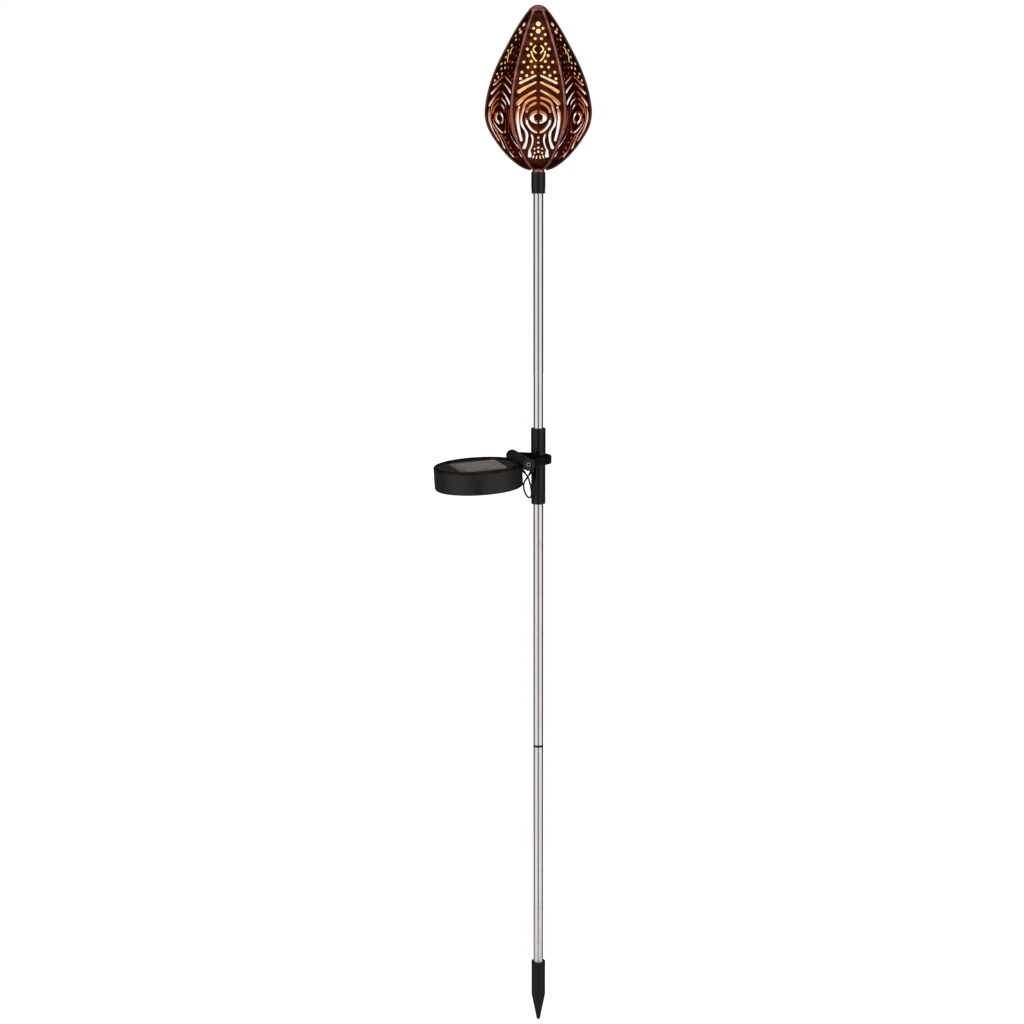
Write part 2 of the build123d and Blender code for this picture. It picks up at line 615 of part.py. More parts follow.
with BuildPart() as panel_window:
    with BuildSketch(panel_plane(WINDOW_FOOT)):
        Circle(PANEL_RADIUS - BEZEL_LIP_WIDTH - PUSH_GAP)
    extrude(amount=WINDOW_THICKNESS)
    clear_ears(PUSH_GAP)
save(panel_window, "panel_window")

with BuildPart() as solar_cell:
    with BuildSketch(panel_plane(DECK_TOP)):
        Rectangle(CELL_SIDE, CELL_SIDE)
    extrude(amount=CELL_THICKNESS)
save(solar_cell, "solar_cell")

seal_middle_radius = PANEL_RADIUS - PANEL_WALL / 2
switch_along = BOARD_FROM_HINGE + SWITCH_FROM_BOARD_MIDDLE


def draw_seal():
    Circle(seal_middle_radius + SEAL_WIDTH / 2)
    Circle(seal_middle_radius - SEAL_WIDTH / 2, mode=Mode.SUBTRACT)


with BuildPart() as panel_cover:
    with BuildSketch(panel_plane(COVER_TOP)):
        Circle(PANEL_RADIUS)
    extrude(amount=-COVER_HEIGHT)
    fillet(panel_cover.edges().sort_by(panel_up)[0], COVER_ROUNDING)
    with BuildSketch(panel_plane(COVER_TOP)):
        Circle(PANEL_RADIUS - PANEL_WALL)
    extrude(amount=COVER_FLOOR_TOP - COVER_TOP, mode=Mode.SUBTRACT)
    with BuildSketch(panel_plane(COVER_TOP)):
        draw_seal()
    extrude(amount=-SEAL_HEIGHT, mode=Mode.SUBTRACT)
    with BuildSketch(panel_plane(COVER_FLOOR_TOP)):
        with PolarLocations(COVER_SCREW_CIRCLE, COVER_SCREWS, start_angle=COVER_SCREW_TURN):
            Circle(COVER_BOSS_RADIUS)
    extrude(amount=COVER_BOSS_HEIGHT)
    with BuildSketch(panel_plane(COVER_FLOOR_TOP, along=BOARD_FROM_HINGE)):
        with Locations((-BOARD_STAND_FROM_MIDDLE, 0)):
            with GridLocations(0, BOARD_STAND_SPREAD, 1, 2):
                Circle(BOARD_STAND_RADIUS)
    extrude(amount=BOARD_STAND_HEIGHT)
    with BuildSketch(panel_plane(BOSS_TOP)):
        with PolarLocations(COVER_SCREW_CIRCLE, COVER_SCREWS, start_angle=COVER_SCREW_TURN):
            Circle(COVER_SCREW_RADIUS + PUSH_GAP)
    extrude(amount=-PANEL_THICKNESS, mode=Mode.SUBTRACT)
    with BuildSketch(panel_plane(-PANEL_THICKNESS)):
        with PolarLocations(COVER_SCREW_CIRCLE, COVER_SCREWS, start_angle=COVER_SCREW_TURN):
            Circle(COVER_SCREW_HEAD_RADIUS + COVER_SCREW_HEAD_GAP)
    extrude(amount=COVER_SCREW_HEAD_HEIGHT + COVER_SCREW_HEAD_GAP, mode=Mode.SUBTRACT)
    with BuildSketch(panel_plane(COVER_FLOOR_TOP, along=switch_along)):
        Rectangle(KNOB_LENGTH + KNOB_TRAVEL + 2 * KNOB_CLEARANCE, KNOB_WIDTH + 2 * KNOB_CLEARANCE)
    extrude(amount=-COVER_FLOOR, mode=Mode.SUBTRACT)
save(panel_cover, "panel_cover")

with BuildPart() as cover_seal:
    with BuildSketch(panel_plane(COVER_TOP)):
        draw_seal()
    extrude(amount=-SEAL_HEIGHT)
save(cover_seal, "cover_seal")

screw_seat = -PANEL_THICKNESS + COVER_SCREW_HEAD_HEIGHT + COVER_SCREW_HEAD_GAP
with BuildPart() as cover_screws:
    with BuildSketch(panel_plane(screw_seat)):
        with PolarLocations(COVER_SCREW_CIRCLE, COVER_SCREWS, start_angle=COVER_SCREW_TURN):
            Circle(COVER_SCREW_HEAD_RADIUS)
    extrude(amount=-COVER_SCREW_HEAD_HEIGHT)
    with BuildSketch(panel_plane(screw_seat)):
        with PolarLocations(COVER_SCREW_CIRCLE, COVER_SCREWS, start_angle=COVER_SCREW_TURN):
            Circle(COVER_SCREW_RADIUS)
    extrude(amount=COVER_SCREW_LENGTH)
    with BuildSketch(panel_plane(screw_seat - COVER_SCREW_HEAD_HEIGHT)):
        with PolarLocations(COVER_SCREW_CIRCLE, COVER_SCREWS, start_angle=COVER_SCREW_TURN):
            Rectangle(COVER_SCREW_HEAD_RADIUS, BOLT_DRIVE_WIDTH)
            Rectangle(BOLT_DRIVE_WIDTH, COVER_SCREW_HEAD_RADIUS)
    extrude(amount=BOLT_DRIVE_DEPTH, mode=Mode.SUBTRACT)
save(cover_screws, "cover_screws")

# ---- Battery ----
battery_span = BATTERY_LENGTH + BATTERY_BUTTON_HEIGHT + LEAF_DEPTH
cradle_inside = battery_span + 2 * CONTACT_THICKNESS
cradle_width = 2 * (BATTERY_RADIUS + CRADLE_SIDE_GAP + CRADLE_SIDE_WALL)
cradle_length = cradle_inside + 2 * CRADLE_END_WALL
button_face = battery_span / 2
flat_face = LEAF_DEPTH - battery_span / 2

with BuildPart() as battery_cradle:
    with BuildSketch(panel_plane(COVER_FLOOR_TOP, along=BATTERY_FROM_HINGE)):
        Rectangle(cradle_width, cradle_length)
    extrude(amount=CRADLE_FLOOR)
    with BuildSketch(panel_plane(COVER_FLOOR_TOP, along=BATTERY_FROM_HINGE)):
        with GridLocations(cradle_width - CRADLE_SIDE_WALL, 0, 2, 1):
            Rectangle(CRADLE_SIDE_WALL, cradle_length)
    extrude(amount=CRADLE_SIDE_HEIGHT)
    with BuildSketch(panel_plane(COVER_FLOOR_TOP, along=BATTERY_FROM_HINGE)):
        with GridLocations(0, cradle_length - CRADLE_END_WALL, 1, 2):
            Rectangle(cradle_width, CRADLE_END_WALL)
    extrude(amount=CRADLE_END_HEIGHT)
save(battery_cradle, "battery_cradle")

with BuildPart() as battery:
    with BuildSketch(across_plane(BATTERY_FROM_HINGE, flat_face, BATTERY_AXIS)):
        Circle(BATTERY_RADIUS)
    extrude(amount=BATTERY_LENGTH)
    with BuildSketch(across_plane(BATTERY_FROM_HINGE, flat_face, BATTERY_AXIS)):
        Circle(BATTERY_BUTTON_RADIUS)
    extrude(amount=BATTERY_LENGTH + BATTERY_BUTTON_HEIGHT)
save(battery, "battery")

with BuildPart() as battery_plate_contact:
    with BuildSketch(across_plane(BATTERY_FROM_HINGE, button_face, BATTERY_AXIS)):
        Rectangle(CONTACT_SIDE, CONTACT_SIDE)
    extrude(amount=CONTACT_THICKNESS)
save(battery_plate_contact, "battery_plate_contact")

leaf_plane = Plane(
    origin=panel.from_local_coords(Vector(BATTERY_FROM_HINGE, -button_face, BATTERY_AXIS)),
    x_dir=panel.y_dir,
    z_dir=panel.x_dir,
)
with BuildPart() as battery_leaf_contact:
    with BuildSketch(across_plane(BATTERY_FROM_HINGE, -button_face, BATTERY_AXIS)):
        Rectangle(CONTACT_SIDE, CONTACT_SIDE)
    extrude(amount=-CONTACT_THICKNESS)
    with BuildSketch(leaf_plane):
        with BuildLine():
            ThreePointArc(
                (-CONTACT_THICKNESS / 2, -LEAF_HALF_HEIGHT),
                (LEAF_DEPTH - CONTACT_THICKNESS / 2, 0),
                (-CONTACT_THICKNESS / 2, LEAF_HALF_HEIGHT),
            )
        trace(line_width=CONTACT_THICKNESS)
    extrude(amount=LEAF_WIDTH / 2, both=True)
save(battery_leaf_contact, "battery_leaf_contact")

# ---- Circuit board and switch ----
with BuildPart() as circuit_board:
    with BuildSketch(panel_plane(BOARD_FOOT, along=BOARD_FROM_HINGE)):
        Rectangle(BOARD_LENGTH, BOARD_WIDTH)
    extrude(amount=BOARD_THICKNESS)
save(circuit_board, "circuit_board")

with BuildPart() as board_parts:
    with BuildSketch(panel_plane(BOARD_TOP, along=BOARD_FROM_HINGE, across=PART_SPREAD)):
        Rectangle(CHIP_LENGTH, CHIP_WIDTH)
    extrude(amount=CHIP_HEIGHT)
    with BuildSketch(panel_plane(BOARD_TOP, along=BOARD_FROM_HINGE, across=-PART_SPREAD)):
        Circle(COIL_RADIUS)
    extrude(amount=COIL_HEIGHT)
save(board_parts, "board_parts")

with BuildPart() as switch_body:
    with BuildSketch(panel_plane(COVER_FLOOR_TOP, along=switch_along)):
        Rectangle(SWITCH_BODY_LENGTH, SWITCH_BODY_WIDTH)
    extrude(amount=BOARD_STAND_HEIGHT)
    with BuildSketch(panel_plane(COVER_FLOOR_TOP, along=switch_along)):
        Rectangle(SWITCH_BODY_LENGTH - 2 * SWITCH_WALL, SWITCH_BODY_WIDTH - 2 * SWITCH_WALL)
    extrude(amount=BOARD_STAND_HEIGHT - SWITCH_WALL, mode=Mode.SUBTRACT)
save(switch_body, "switch_body")

knob_along = switch_along - KNOB_TRAVEL / 2
slider_foot = COVER_FLOOR_TOP + SLIDER_LIFT
with BuildPart() as switch_knob:
    with BuildSketch(panel_plane(slider_foot, along=knob_along)):
        Rectangle(SLIDER_LENGTH, SLIDER_WIDTH)
    extrude(amount=SLIDER_HEIGHT)
    with BuildSketch(panel_plane(slider_foot, along=knob_along)):
        Rectangle(KNOB_LENGTH, KNOB_WIDTH)
    extrude(amount=-SLIDER_LIFT - COVER_FLOOR - KNOB_OUT)
save(switch_knob, "switch_knob")

# ---- Cable, grommets and leads ----
with BuildPart() as panel_grommet:
    with BuildSketch(wall_plane(-GROMMET_PLUG_OUT)):
        Circle(GROMMET_RADIUS)
    extrude(amount=GROMMET_PLUG_OUT + PANEL_WALL + GROMMET_PLUG_IN)
    with BuildSketch(Plane(origin=cable_start, z_dir=-cable_start_direction)):
        Circle(GROMMET_BOOT_RADIUS)
    extrude(amount=boot_length)
save(panel_grommet, "panel_grommet")

make_cord(CABLE_POINTS, CABLE_DIAMETER, "light_cable")

plug_end = Vector(PANEL_WALL + GROMMET_PLUG_IN, plug_middle.Y, plug_middle.Z)
lead_over_battery = (DECK_FOOT + BATTERY_AXIS + BATTERY_RADIUS) / 2
lead_foot = BOARD_FROM_HINGE - PANEL_LEAD_FOOT
panel_lead_points = [plug_end, plug_end + Vector(PANEL_LEAD_OUT, 0, 0)]
for beyond, across in PANEL_LEAD_SWAYS:
    panel_lead_points.append(Vector(BATTERY_FROM_HINGE + beyond, across, lead_over_battery))
panel_lead_points += [
    Vector(BOARD_FROM_HINGE - PANEL_LEAD_BEND, 0, lead_over_battery),
    Vector(lead_foot, PANEL_LEAD_ACROSS, BOARD_TOP + PANEL_LEAD_RISE),
    Vector(lead_foot, PANEL_LEAD_ACROSS, BOARD_TOP),
]
make_cord([tuple(panel.from_local_coords(p)) for p in panel_lead_points], LEAD_DIAMETER, "panel_lead")

lead_start = cable_end + cable_end_direction * SLEEVE_GROMMET_LENGTH
pole_lead_points = [
    tuple(lead_start),
    tuple(lead_start + cable_end_direction * POLE_LEAD_START),
    (0, 0, UPPER_TUBE_FOOT - POLE_LEAD_UNDER_TUBE),
]
for x, y, share in POLE_LEAD_SWAYS:
    pole_lead_points.append((x, y, UPPER_TUBE_FOOT + share * UPPER_TUBE_LENGTH))
pole_lead_points.append((0, 0, HOLDER_TOP))
make_cord(pole_lead_points, LEAD_DIAMETER, "pole_lead")

# ---- Head collar and ferrule ----
with BuildPart() as head_collar:
    with BuildSketch(Plane.XY.offset(COLLAR_FOOT)):
        Circle(COLLAR_FOOT_RADIUS)
    extrude(amount=COLLAR_FOOT_HEIGHT)
    with BuildSketch(Plane.XY.offset(COLLAR_FOOT + COLLAR_FOOT_HEIGHT)):
        Circle(COLLAR_RADIUS)
    extrude(amount=COLLAR_HEIGHT - COLLAR_FOOT_HEIGHT)
    fillet(head_collar.edges().filter_by(GeomType.CIRCLE).sort_by(Axis.Z)[0], COLLAR_ROUNDING)
    with BuildSketch(Plane.XY.offset(COLLAR_FOOT)):
        Circle(UPPER_TUBE_RADIUS + PUSH_GAP)
    extrude(amount=COLLAR_SOCKET_DEPTH, mode=Mode.SUBTRACT)
    with BuildSketch(Plane.XY.offset(COLLAR_TOP)):
        Circle(HOLDER_STEM_RADIUS + PUSH_GAP)
    extrude(amount=UPPER_TUBE_TOP - COLLAR_TOP, mode=Mode.SUBTRACT)
save(head_collar, "head_collar")

with BuildPart() as head_ferrule:
    with BuildSketch(Plane.XY.offset(COLLAR_TOP)):
        Circle(FERRULE_RADIUS)
    extrude(amount=FERRULE_LIP_HEIGHT + FERRULE_NECK_HEIGHT)
    with BuildSketch(Plane.XY.offset(FLANGE_TOP)):
        Circle(FERRULE_FLANGE_RADIUS)
    extrude(amount=-FERRULE_FLANGE_THICKNESS)
    with BuildSketch(Plane.XY.offset(COLLAR_TOP)):
        Circle(HOLDER_STEM_RADIUS + PUSH_GAP)
    extrude(amount=FLANGE_TOP - COLLAR_TOP, mode=Mode.SUBTRACT)
save(head_ferrule, "head_ferrule")

# ---- Light source ----
with BuildPart() as led_holder:
    with BuildSketch(Plane.XY.offset(FLANGE_TOP)):
        Circle(HOLDER_RADIUS)
    extrude(amount=HOLDER_HEIGHT)
    with BuildSketch(Plane.XY.offset(FLANGE_TOP)):
        Circle(HOLDER_STEM_RADIUS)
    extrude(amount=-HOLDER_STEM_LENGTH)
    with BuildSketch(Plane.XY.offset(HOLDER_TOP)):
        Circle(HOLDER_BORE_RADIUS)
    extrude(amount=-HOLDER_HEIGHT - HOLDER_STEM_LENGTH, mode=Mode.SUBTRACT)
save(led_holder, "led_holder")

with BuildPart() as led_board:
    with BuildSketch(Plane.XY.offset(HOLDER_TOP)):
        Circle(LED_BOARD_RADIUS)
    extrude(amount=LED_BOARD_THICKNESS)
save(led_board, "led_board")

with BuildPart() as led_lens:
    with BuildSketch(Plane.XZ):
        with BuildLine():
            Polyline(
                (0, LED_BOARD_TOP + LENS_BARREL + LENS_RADIUS),
                (0, LED_BOARD_TOP),
                (LENS_RADIUS, LED_BOARD_TOP),
                (LENS_RADIUS, LED_BOARD_TOP + LENS_BARREL),
            )
            CenterArc((0, LED_BOARD_TOP + LENS_BARREL), LENS_RADIUS, 0, 90)
        make_face()
    revolve(axis=Axis.Z)
save(led_lens, "led_lens")


# ---- Lantern ----
def draw_outline(width_share, start_angle):
    """The lantern's outline as tangent arcs, its radii scaled by a share of the corner's."""
    points = [(radius * width_share, LANTERN_FOOT + height) for radius, height in CORNER_OUTLINE]
    start = radians(start_angle)
    arc = TangentArc(points[0], points[1], tangent=(cos(start), sin(start)))
    for point in points[2:]:
        arc = TangentArc(arc @ 1, point, tangent=arc % 1)


petal_plane = Plane(origin=(0, 0, LANTERN_FOOT), x_dir=(0, 1, 0), z_dir=(1, 0, 0))


def tapered_slot(*stations):
    """A slot through (x, height, width) stations, round at every station."""
    with BuildSketch() as slot:
        for start, end in zip(stations, stations[1:]):
            with BuildSketch(mode=Mode.PRIVATE) as link:
                for x, height, width in (start, end):
                    with Locations((x, height)):
                        Circle(width / 2)
                make_hull()
            add(link.sketch)
    return slot.sketch


def curved_slot(width, *points):
    """A slot of one width along a smooth line, with round ends."""
    with BuildSketch() as slot:
        with BuildLine():
            Spline(*points)
        trace(line_width=width)
        with Locations(points[0], points[-1]):
            Circle(width / 2)
    return slot.sketch


MIDDLE_DOTS = [(4.4, 132.8), (4.4, 126.0), (2.4, 29.5), (2.4, 25.0), (2.4, 20.3), (2.2, 16.6)]
SIDE_DOTS = [
    (4.3, 128.6),
    (6.4, 122.8),
    (2.9, 119.0),
    (6.8, 114.1),
    (10.1, 109.4),
    (9.1, 103.4),
    (6.5, 98.0),
    (13.3, 97.4),
    (3.0, 93.2),
    (9.5, 92.6),
    (5.5, 87.9),
    (15.1, 88.1),
    (10.7, 85.0),
    (16.3, 82.2),
]
SIDE_DOT_DIAMETER = 2.6
FOOT_DOTS = [(3.5, 19.2), (3.5, 15.4)]
FOOT_DOT_DIAMETER = 1.8
EYE_HEIGHT = 47.6
EYE_OPENING = (8.3, 6.0)  # half-axes, (x, height)
EYE_PUPIL = (4.3, 3.3)
EYE_BRIDGE = 2.0  # metal left above and below the pupil
CURVED_CUTS = [  # (width, [(x, height)])
    (1.3, [(2.45, 112.3), (4.6, 109.6), (2.1, 105.8)]),
    (1.3, [(6.4, 107.2), (4.7, 101.9), (1.9, 98.4)]),
    (
        2.0,
        [
            (2.6, 64.9),
            (6.5, 63.6),
            (10.0, 61.6),
            (12.7, 58.5),
            (13.8, 55.0),
            (15.2, 50.5),
            (16.1, 46.0),
            (15.4, 41.5),
            (13.4, 38.0),
            (11.4, 35.0),
        ],
    ),
    (1.9, [(2.4, 60.1), (5.6, 58.7), (9.0, 55.9), (11.0, 52.3)]),
    (1.6, [(6.5, 32.2), (5.4, 29.1), (5.8, 23.8), (8.4, 17.9)]),
]
TAPERED_CUTS = [  # stations of (x, height, width)
    [(2.5, 84.9, 1.6), (16.8, 78.2, 2.2)],
    [(2.5, 78.9, 1.7), (12.0, 74.2, 2.4), (17.9, 70.4, 3.2)],
    [(2.5, 71.4, 1.6), (8.3, 68.3, 2.0), (13.3, 65.0, 2.8), (17.0, 61.8, 3.4), (18.8, 59.6, 3.2)],
    [(17.4, 56.6, 1.2), (19.2, 52.0, 2.6), (19.6, 46.0, 3.0), (18.8, 39.6, 2.9)],
    [(18.8, 39.6, 2.9), (17.4, 32.6, 2.6), (15.9, 27.0, 2.4)],
    [(11.4, 35.0, 2.2), (10.6, 31.0, 2.5), (11.2, 26.0, 2.4), (13.3, 20.5, 3.4)],
    [(11.3, 46.0, 1.9), (10.5, 42.3, 2.2), (7.5, 38.0, 2.4), (4.6, 35.4, 2.4), (1.9, 34.2, 2.2)],
    [(8.4, 17.9, 1.8), (8.1, 12.9, 3.6)],
    [(4.4, 12.9, 1.2), (5.0, 11.0, 1.2)],
    [(1.5, 12.2, 1.1), (1.9, 10.4, 1.1)],
]
CUTS_START = 2.0  # pole's axis to where the radial cuts begin
CUTS_REACH = 60.0

with BuildSketch() as side_cuts:
    with Locations(*SIDE_DOTS):
        Circle(SIDE_DOT_DIAMETER / 2)
    with Locations(*FOOT_DOTS):
        Circle(FOOT_DOT_DIAMETER / 2)
    for width, points in CURVED_CUTS:
        add(curved_slot(width, *points))
    for stations in TAPERED_CUTS:
        add(tapered_slot(*stations))

with BuildSketch() as eye:
    with Locations((0, EYE_HEIGHT)):
        Ellipse(*EYE_OPENING)
        Ellipse(*EYE_PUPIL, mode=Mode.SUBTRACT)
        Rectangle(EYE_BRIDGE, 2 * EYE_OPENING[1], mode=Mode.SUBTRACT)

with BuildSketch() as pattern:
    add(side_cuts.sketch)
    mirror(side_cuts.sketch, about=Plane.YZ)
    add(eye.sketch)
    for diameter, height in MIDDLE_DOTS:
        with Locations((0, height)):
            Circle(diameter / 2)

seam_turns = [-180 / SIDES, 180 / SIDES]


def sweep_seam(turn, radius, mode=Mode.ADD):
    """A round wire along the lantern's corner at this turn about the pole."""
    plane = Plane.XZ.rotated((0, 0, turn))
    with BuildLine(plane) as line:
        draw_outline(1.0, CORNER_START_ANGLE)
    with BuildSketch(line.line ^ 0) as wire:
        Circle(radius)
    sweep(wire.sketch, path=line.line, mode=mode)


with BuildPart() as petal:
    with BuildSketch(Plane.XZ):
        with BuildLine():
            draw_outline(cos(pi / SIDES), PETAL_START_ANGLE)
            offset(amount=SHEET, side=Side.LEFT, closed=True)
        make_face()
    extrude(amount=CORNER_OUTLINE[4][0], both=True)
    split(bisect_by=Plane.XZ.rotated((0, 0, -180 / SIDES)), keep=Keep.BOTTOM)
    split(bisect_by=Plane.XZ.rotated((0, 0, 180 / SIDES)), keep=Keep.TOP)
    for turn in seam_turns:
        sweep_seam(turn, SEAM_RADIUS + SEAM_GAP, Mode.SUBTRACT)
    split(bisect_by=Plane.XY.offset(LANTERN_TOP), keep=Keep.BOTTOM)
    with BuildSketch(petal_plane.offset(CUTS_START)):
        add(pattern.sketch)
    extrude(amount=CUTS_REACH, mode=Mode.SUBTRACT)

with BuildPart() as seam:
    sweep_seam(180 / SIDES, SEAM_RADIUS)
    split(bisect_by=Plane.XY.offset(LANTERN_TOP), keep=Keep.BOTTOM)

for side in range(SIDES):
    turn = -90 - LANTERN_TURN + side * 360 / SIDES
    with BuildPart() as turned_petal:
        add(petal.part, rotation=(0, 0, turn))
    save(turned_petal, f"lantern_petal_{side + 1}")
    with BuildPart() as turned_seam:
        add(seam.part, rotation=(0, 0, turn))
    save(turned_seam, f"lantern_seam_{side + 1}")

with BuildPart() as lantern_cap:
    with BuildSketch(Plane.XY.offset(CAP_BAND_FOOT)):
        Circle(CAP_SPIGOT_RADIUS)
    extrude(amount=-CAP_SPIGOT_LENGTH)
    with BuildSketch(Plane.XY.offset(CAP_BAND_FOOT)):
        Circle(CAP_BAND_RADIUS)
    extrude(amount=CAP_BAND_HEIGHT)
    with BuildSketch(Plane.XZ):
        with BuildLine():
            dome_foot = CAP_BAND_FOOT + CAP_BAND_HEIGHT
            dome_top = (0, dome_foot + CAP_DOME_HEIGHT)
            Polyline(dome_top, (0, dome_foot), (CAP_DOME_RADIUS, dome_foot))
            TangentArc(dome_top, (CAP_DOME_RADIUS, dome_foot), tangent=(1, 0))
        make_face()
    revolve(axis=Axis.Z)
save(lantern_cap, "lantern_cap")
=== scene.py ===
import json
from math import atan2, radians

import bmesh
import bpy
from bpy.props import FloatProperty, FloatVectorProperty, IntProperty, PointerProperty
from bpy.types import NodeSocket, Operator, Panel, PropertyGroup
from mathutils import Matrix, Vector


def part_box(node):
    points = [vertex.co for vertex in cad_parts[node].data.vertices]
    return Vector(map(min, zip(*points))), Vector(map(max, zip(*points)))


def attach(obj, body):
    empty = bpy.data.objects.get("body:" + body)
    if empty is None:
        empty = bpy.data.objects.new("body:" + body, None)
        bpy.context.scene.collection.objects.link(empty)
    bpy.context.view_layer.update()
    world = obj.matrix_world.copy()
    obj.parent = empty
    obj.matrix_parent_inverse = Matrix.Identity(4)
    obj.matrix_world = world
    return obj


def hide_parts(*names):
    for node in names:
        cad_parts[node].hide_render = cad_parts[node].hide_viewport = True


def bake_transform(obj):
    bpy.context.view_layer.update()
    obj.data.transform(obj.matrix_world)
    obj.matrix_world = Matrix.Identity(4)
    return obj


bl_info = {
    "name": "Solar garden torch",
    "version": (1, 0, 0),
    "blender": (4, 5, 0),
    "location": "View3D > Sidebar > Garden torch",
    "description": "Finishes and fine pieces of a solar garden torch on its packed frame",
    "category": "Object",
}

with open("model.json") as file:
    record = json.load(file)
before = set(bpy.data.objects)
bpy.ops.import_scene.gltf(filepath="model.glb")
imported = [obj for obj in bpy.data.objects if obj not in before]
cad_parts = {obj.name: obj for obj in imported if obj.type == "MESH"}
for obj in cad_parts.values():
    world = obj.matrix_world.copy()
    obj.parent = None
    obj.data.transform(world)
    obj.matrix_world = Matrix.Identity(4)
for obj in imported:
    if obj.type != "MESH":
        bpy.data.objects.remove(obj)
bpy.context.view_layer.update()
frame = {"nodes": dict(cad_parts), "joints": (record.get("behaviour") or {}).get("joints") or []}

# ---- Places read from the frame ----
joints = {joint["name"]: joint for joint in frame["joints"]}
HINGE = Vector(joints["panel_tilt"]["pos_m"])
OUTWARD = -Vector(joints["switch_slide"]["axis"])  # from the panel towards the hinge, in its plane
DROOP = atan2(OUTWARD.z, OUTWARD.x)
PANEL_LOW, PANEL_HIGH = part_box("panel_bezel")
SPIKE_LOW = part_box("ground_spike")[0]
SLEEVE_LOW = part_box("connector_sleeve")[0]
PETAL_LOW, PETAL_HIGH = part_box("lantern_petal_1")
LENS_LOW, LENS_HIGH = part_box("led_lens")
PETAL_TURN = atan2(PETAL_LOW.y + PETAL_HIGH.y, PETAL_LOW.x + PETAL_HIGH.x)
PANEL_RADIUS = (PANEL_HIGH.y - PANEL_LOW.y) / 2

# The free cable's route: (x, y, height over the sleeve's foot), from the panel to the sleeve.
CABLE_ROUTE = [
    (-0.0154, -0.0006, 0.0330),
    (-0.0112, -0.0002, 0.0286),
    (-0.0098, -0.0044, 0.0216),
    (-0.0092, -0.0077, 0.0146),
    (-0.0087, -0.0054, 0.0078),
    (-0.0099, 0.0002, 0.0060),
    (-0.0120, 0.0048, 0.0096),
    (-0.0139, 0.0046, 0.0160),
    (-0.0150, -0.0008, 0.0218),
    (-0.0126, -0.0049, 0.0276),
    (-0.0084, -0.0031, 0.0322),
]
BOOT_OUTLINE = [  # (radius, distance along the cable) of a boot's rings, up to its thin end
    (0.00145, -0.0004),
    (0.00145, 0.0004),
    (0.00126, 0.0009),
    (0.00136, 0.0011),
    (0.00116, 0.0018),
    (0.00122, 0.0020),
]
BOOT_CLEARANCE = 0.00003
BOOT_THIN_WALL = 0.00012
CELL_THICKNESS = 0.0014
SEAM_IN_FRONT = 0.015  # seams with their middle further forward than this get a painted-lit copper, and the others a darker copy as painted shade
DULLER = 0.6  # how dark the duller black parts are beside the body's colour
LIGHT_PATCHES = 1.35  # how much lighter the light patches of a moulded surface are
LOW_PANELS = 4.5  # how much brighter the studio's dark panels are near the floor

# Painted lamplight, an emission glow painted on the lantern's inner face: (share of the height, colour), the
# order the ramp takes.
PAINTED_LAMPLIGHT = [
    (0.0, (0.10, 0.015, 0.003)),
    (1.0, (0.95, 0.85, 0.35)),
    (0.15, (0.22, 0.040, 0.008)),
    (0.30, (0.40, 0.105, 0.018)),
    (0.43, (0.62, 0.25, 0.050)),
    (0.58, (1.00, 0.74, 0.32)),
    (0.75, (0.90, 0.78, 0.20)),
]


# ---- Sizes and colours a user would change ----
class StageSettings(PropertyGroup):
    camera_distance: FloatProperty(
        name="Camera distance",
        description="Level distance from the pole to the camera",
        default=1.74,
        unit="LENGTH",
    )
    camera_height: FloatProperty(
        name="Camera height",
        description="Height of the camera over the ground",
        default=0.80405,
        unit="LENGTH",
    )
    camera_turn: FloatProperty(
        name="Camera turn",
        description="Direction of the camera round the pole",
        default=radians(-16.6),
        subtype="ANGLE",
    )
    camera_tilt: FloatProperty(
        name="Camera tilt",
        description="How far the camera looks down",
        default=radians(10.8),
        subtype="ANGLE",
    )
    lens: FloatProperty(name="Lens", description="Focal length in millimetres", default=63.28)
    side_shift: FloatProperty(name="Side shift", description="Sideways shift of the picture", default=-0.0257)
    floor_radius: FloatProperty(
        name="Floor radius", description="Radius of the floor", default=6.0, unit="LENGTH"
    )
    side_panels: FloatProperty(
        name="Side panels", description="Brightness of the studio's side panels", default=1.25
    )
    dark_panels: FloatProperty(name="Dark panels", description="Brightness of the dark panels", default=0.045)
    overhead: FloatProperty(name="Overhead", description="Brightness of the studio's ceiling", default=0.9)
    key_power: FloatProperty(
        name="Key light", description="Power of the key light", default=9.0, unit="POWER"
    )


class PoleSettings(PropertyGroup):
    steel: FloatVectorProperty(
        name="Steel", description="Colour of the polished tubes", default=(0.64, 0.615, 0.60), subtype="COLOR"
    )
    line_spacing: FloatProperty(
        name="Line spacing",
        description="Spacing of the polishing lines",
        default=0.00018,
        unit="LENGTH",
        precision=5,
    )
    frosting: FloatProperty(
        name="Frosting", description="How matt the tube's foot is", default=0.32, subtype="FACTOR"
    )


class PlasticSettings(PropertyGroup):
    body: FloatVectorProperty(
        name="Body",
        description="Colour of the moulded body parts",
        default=(0.0042, 0.0042, 0.0046),
        subtype="COLOR",
    )
    cover: FloatVectorProperty(
        name="Cover",
        description="Colour of the panel's shell",
        default=(0.00589, 0.0062, 0.007316),
        subtype="COLOR",
    )
    spike: FloatVectorProperty(
        name="Spike",
        description="Colour of the ground spike",
        default=(0.0065, 0.0063, 0.0060),
        subtype="COLOR",
    )
    grain: FloatProperty(
        name="Grain", description="Size of the moulded grain", default=0.00035, unit="LENGTH", precision=5
    )


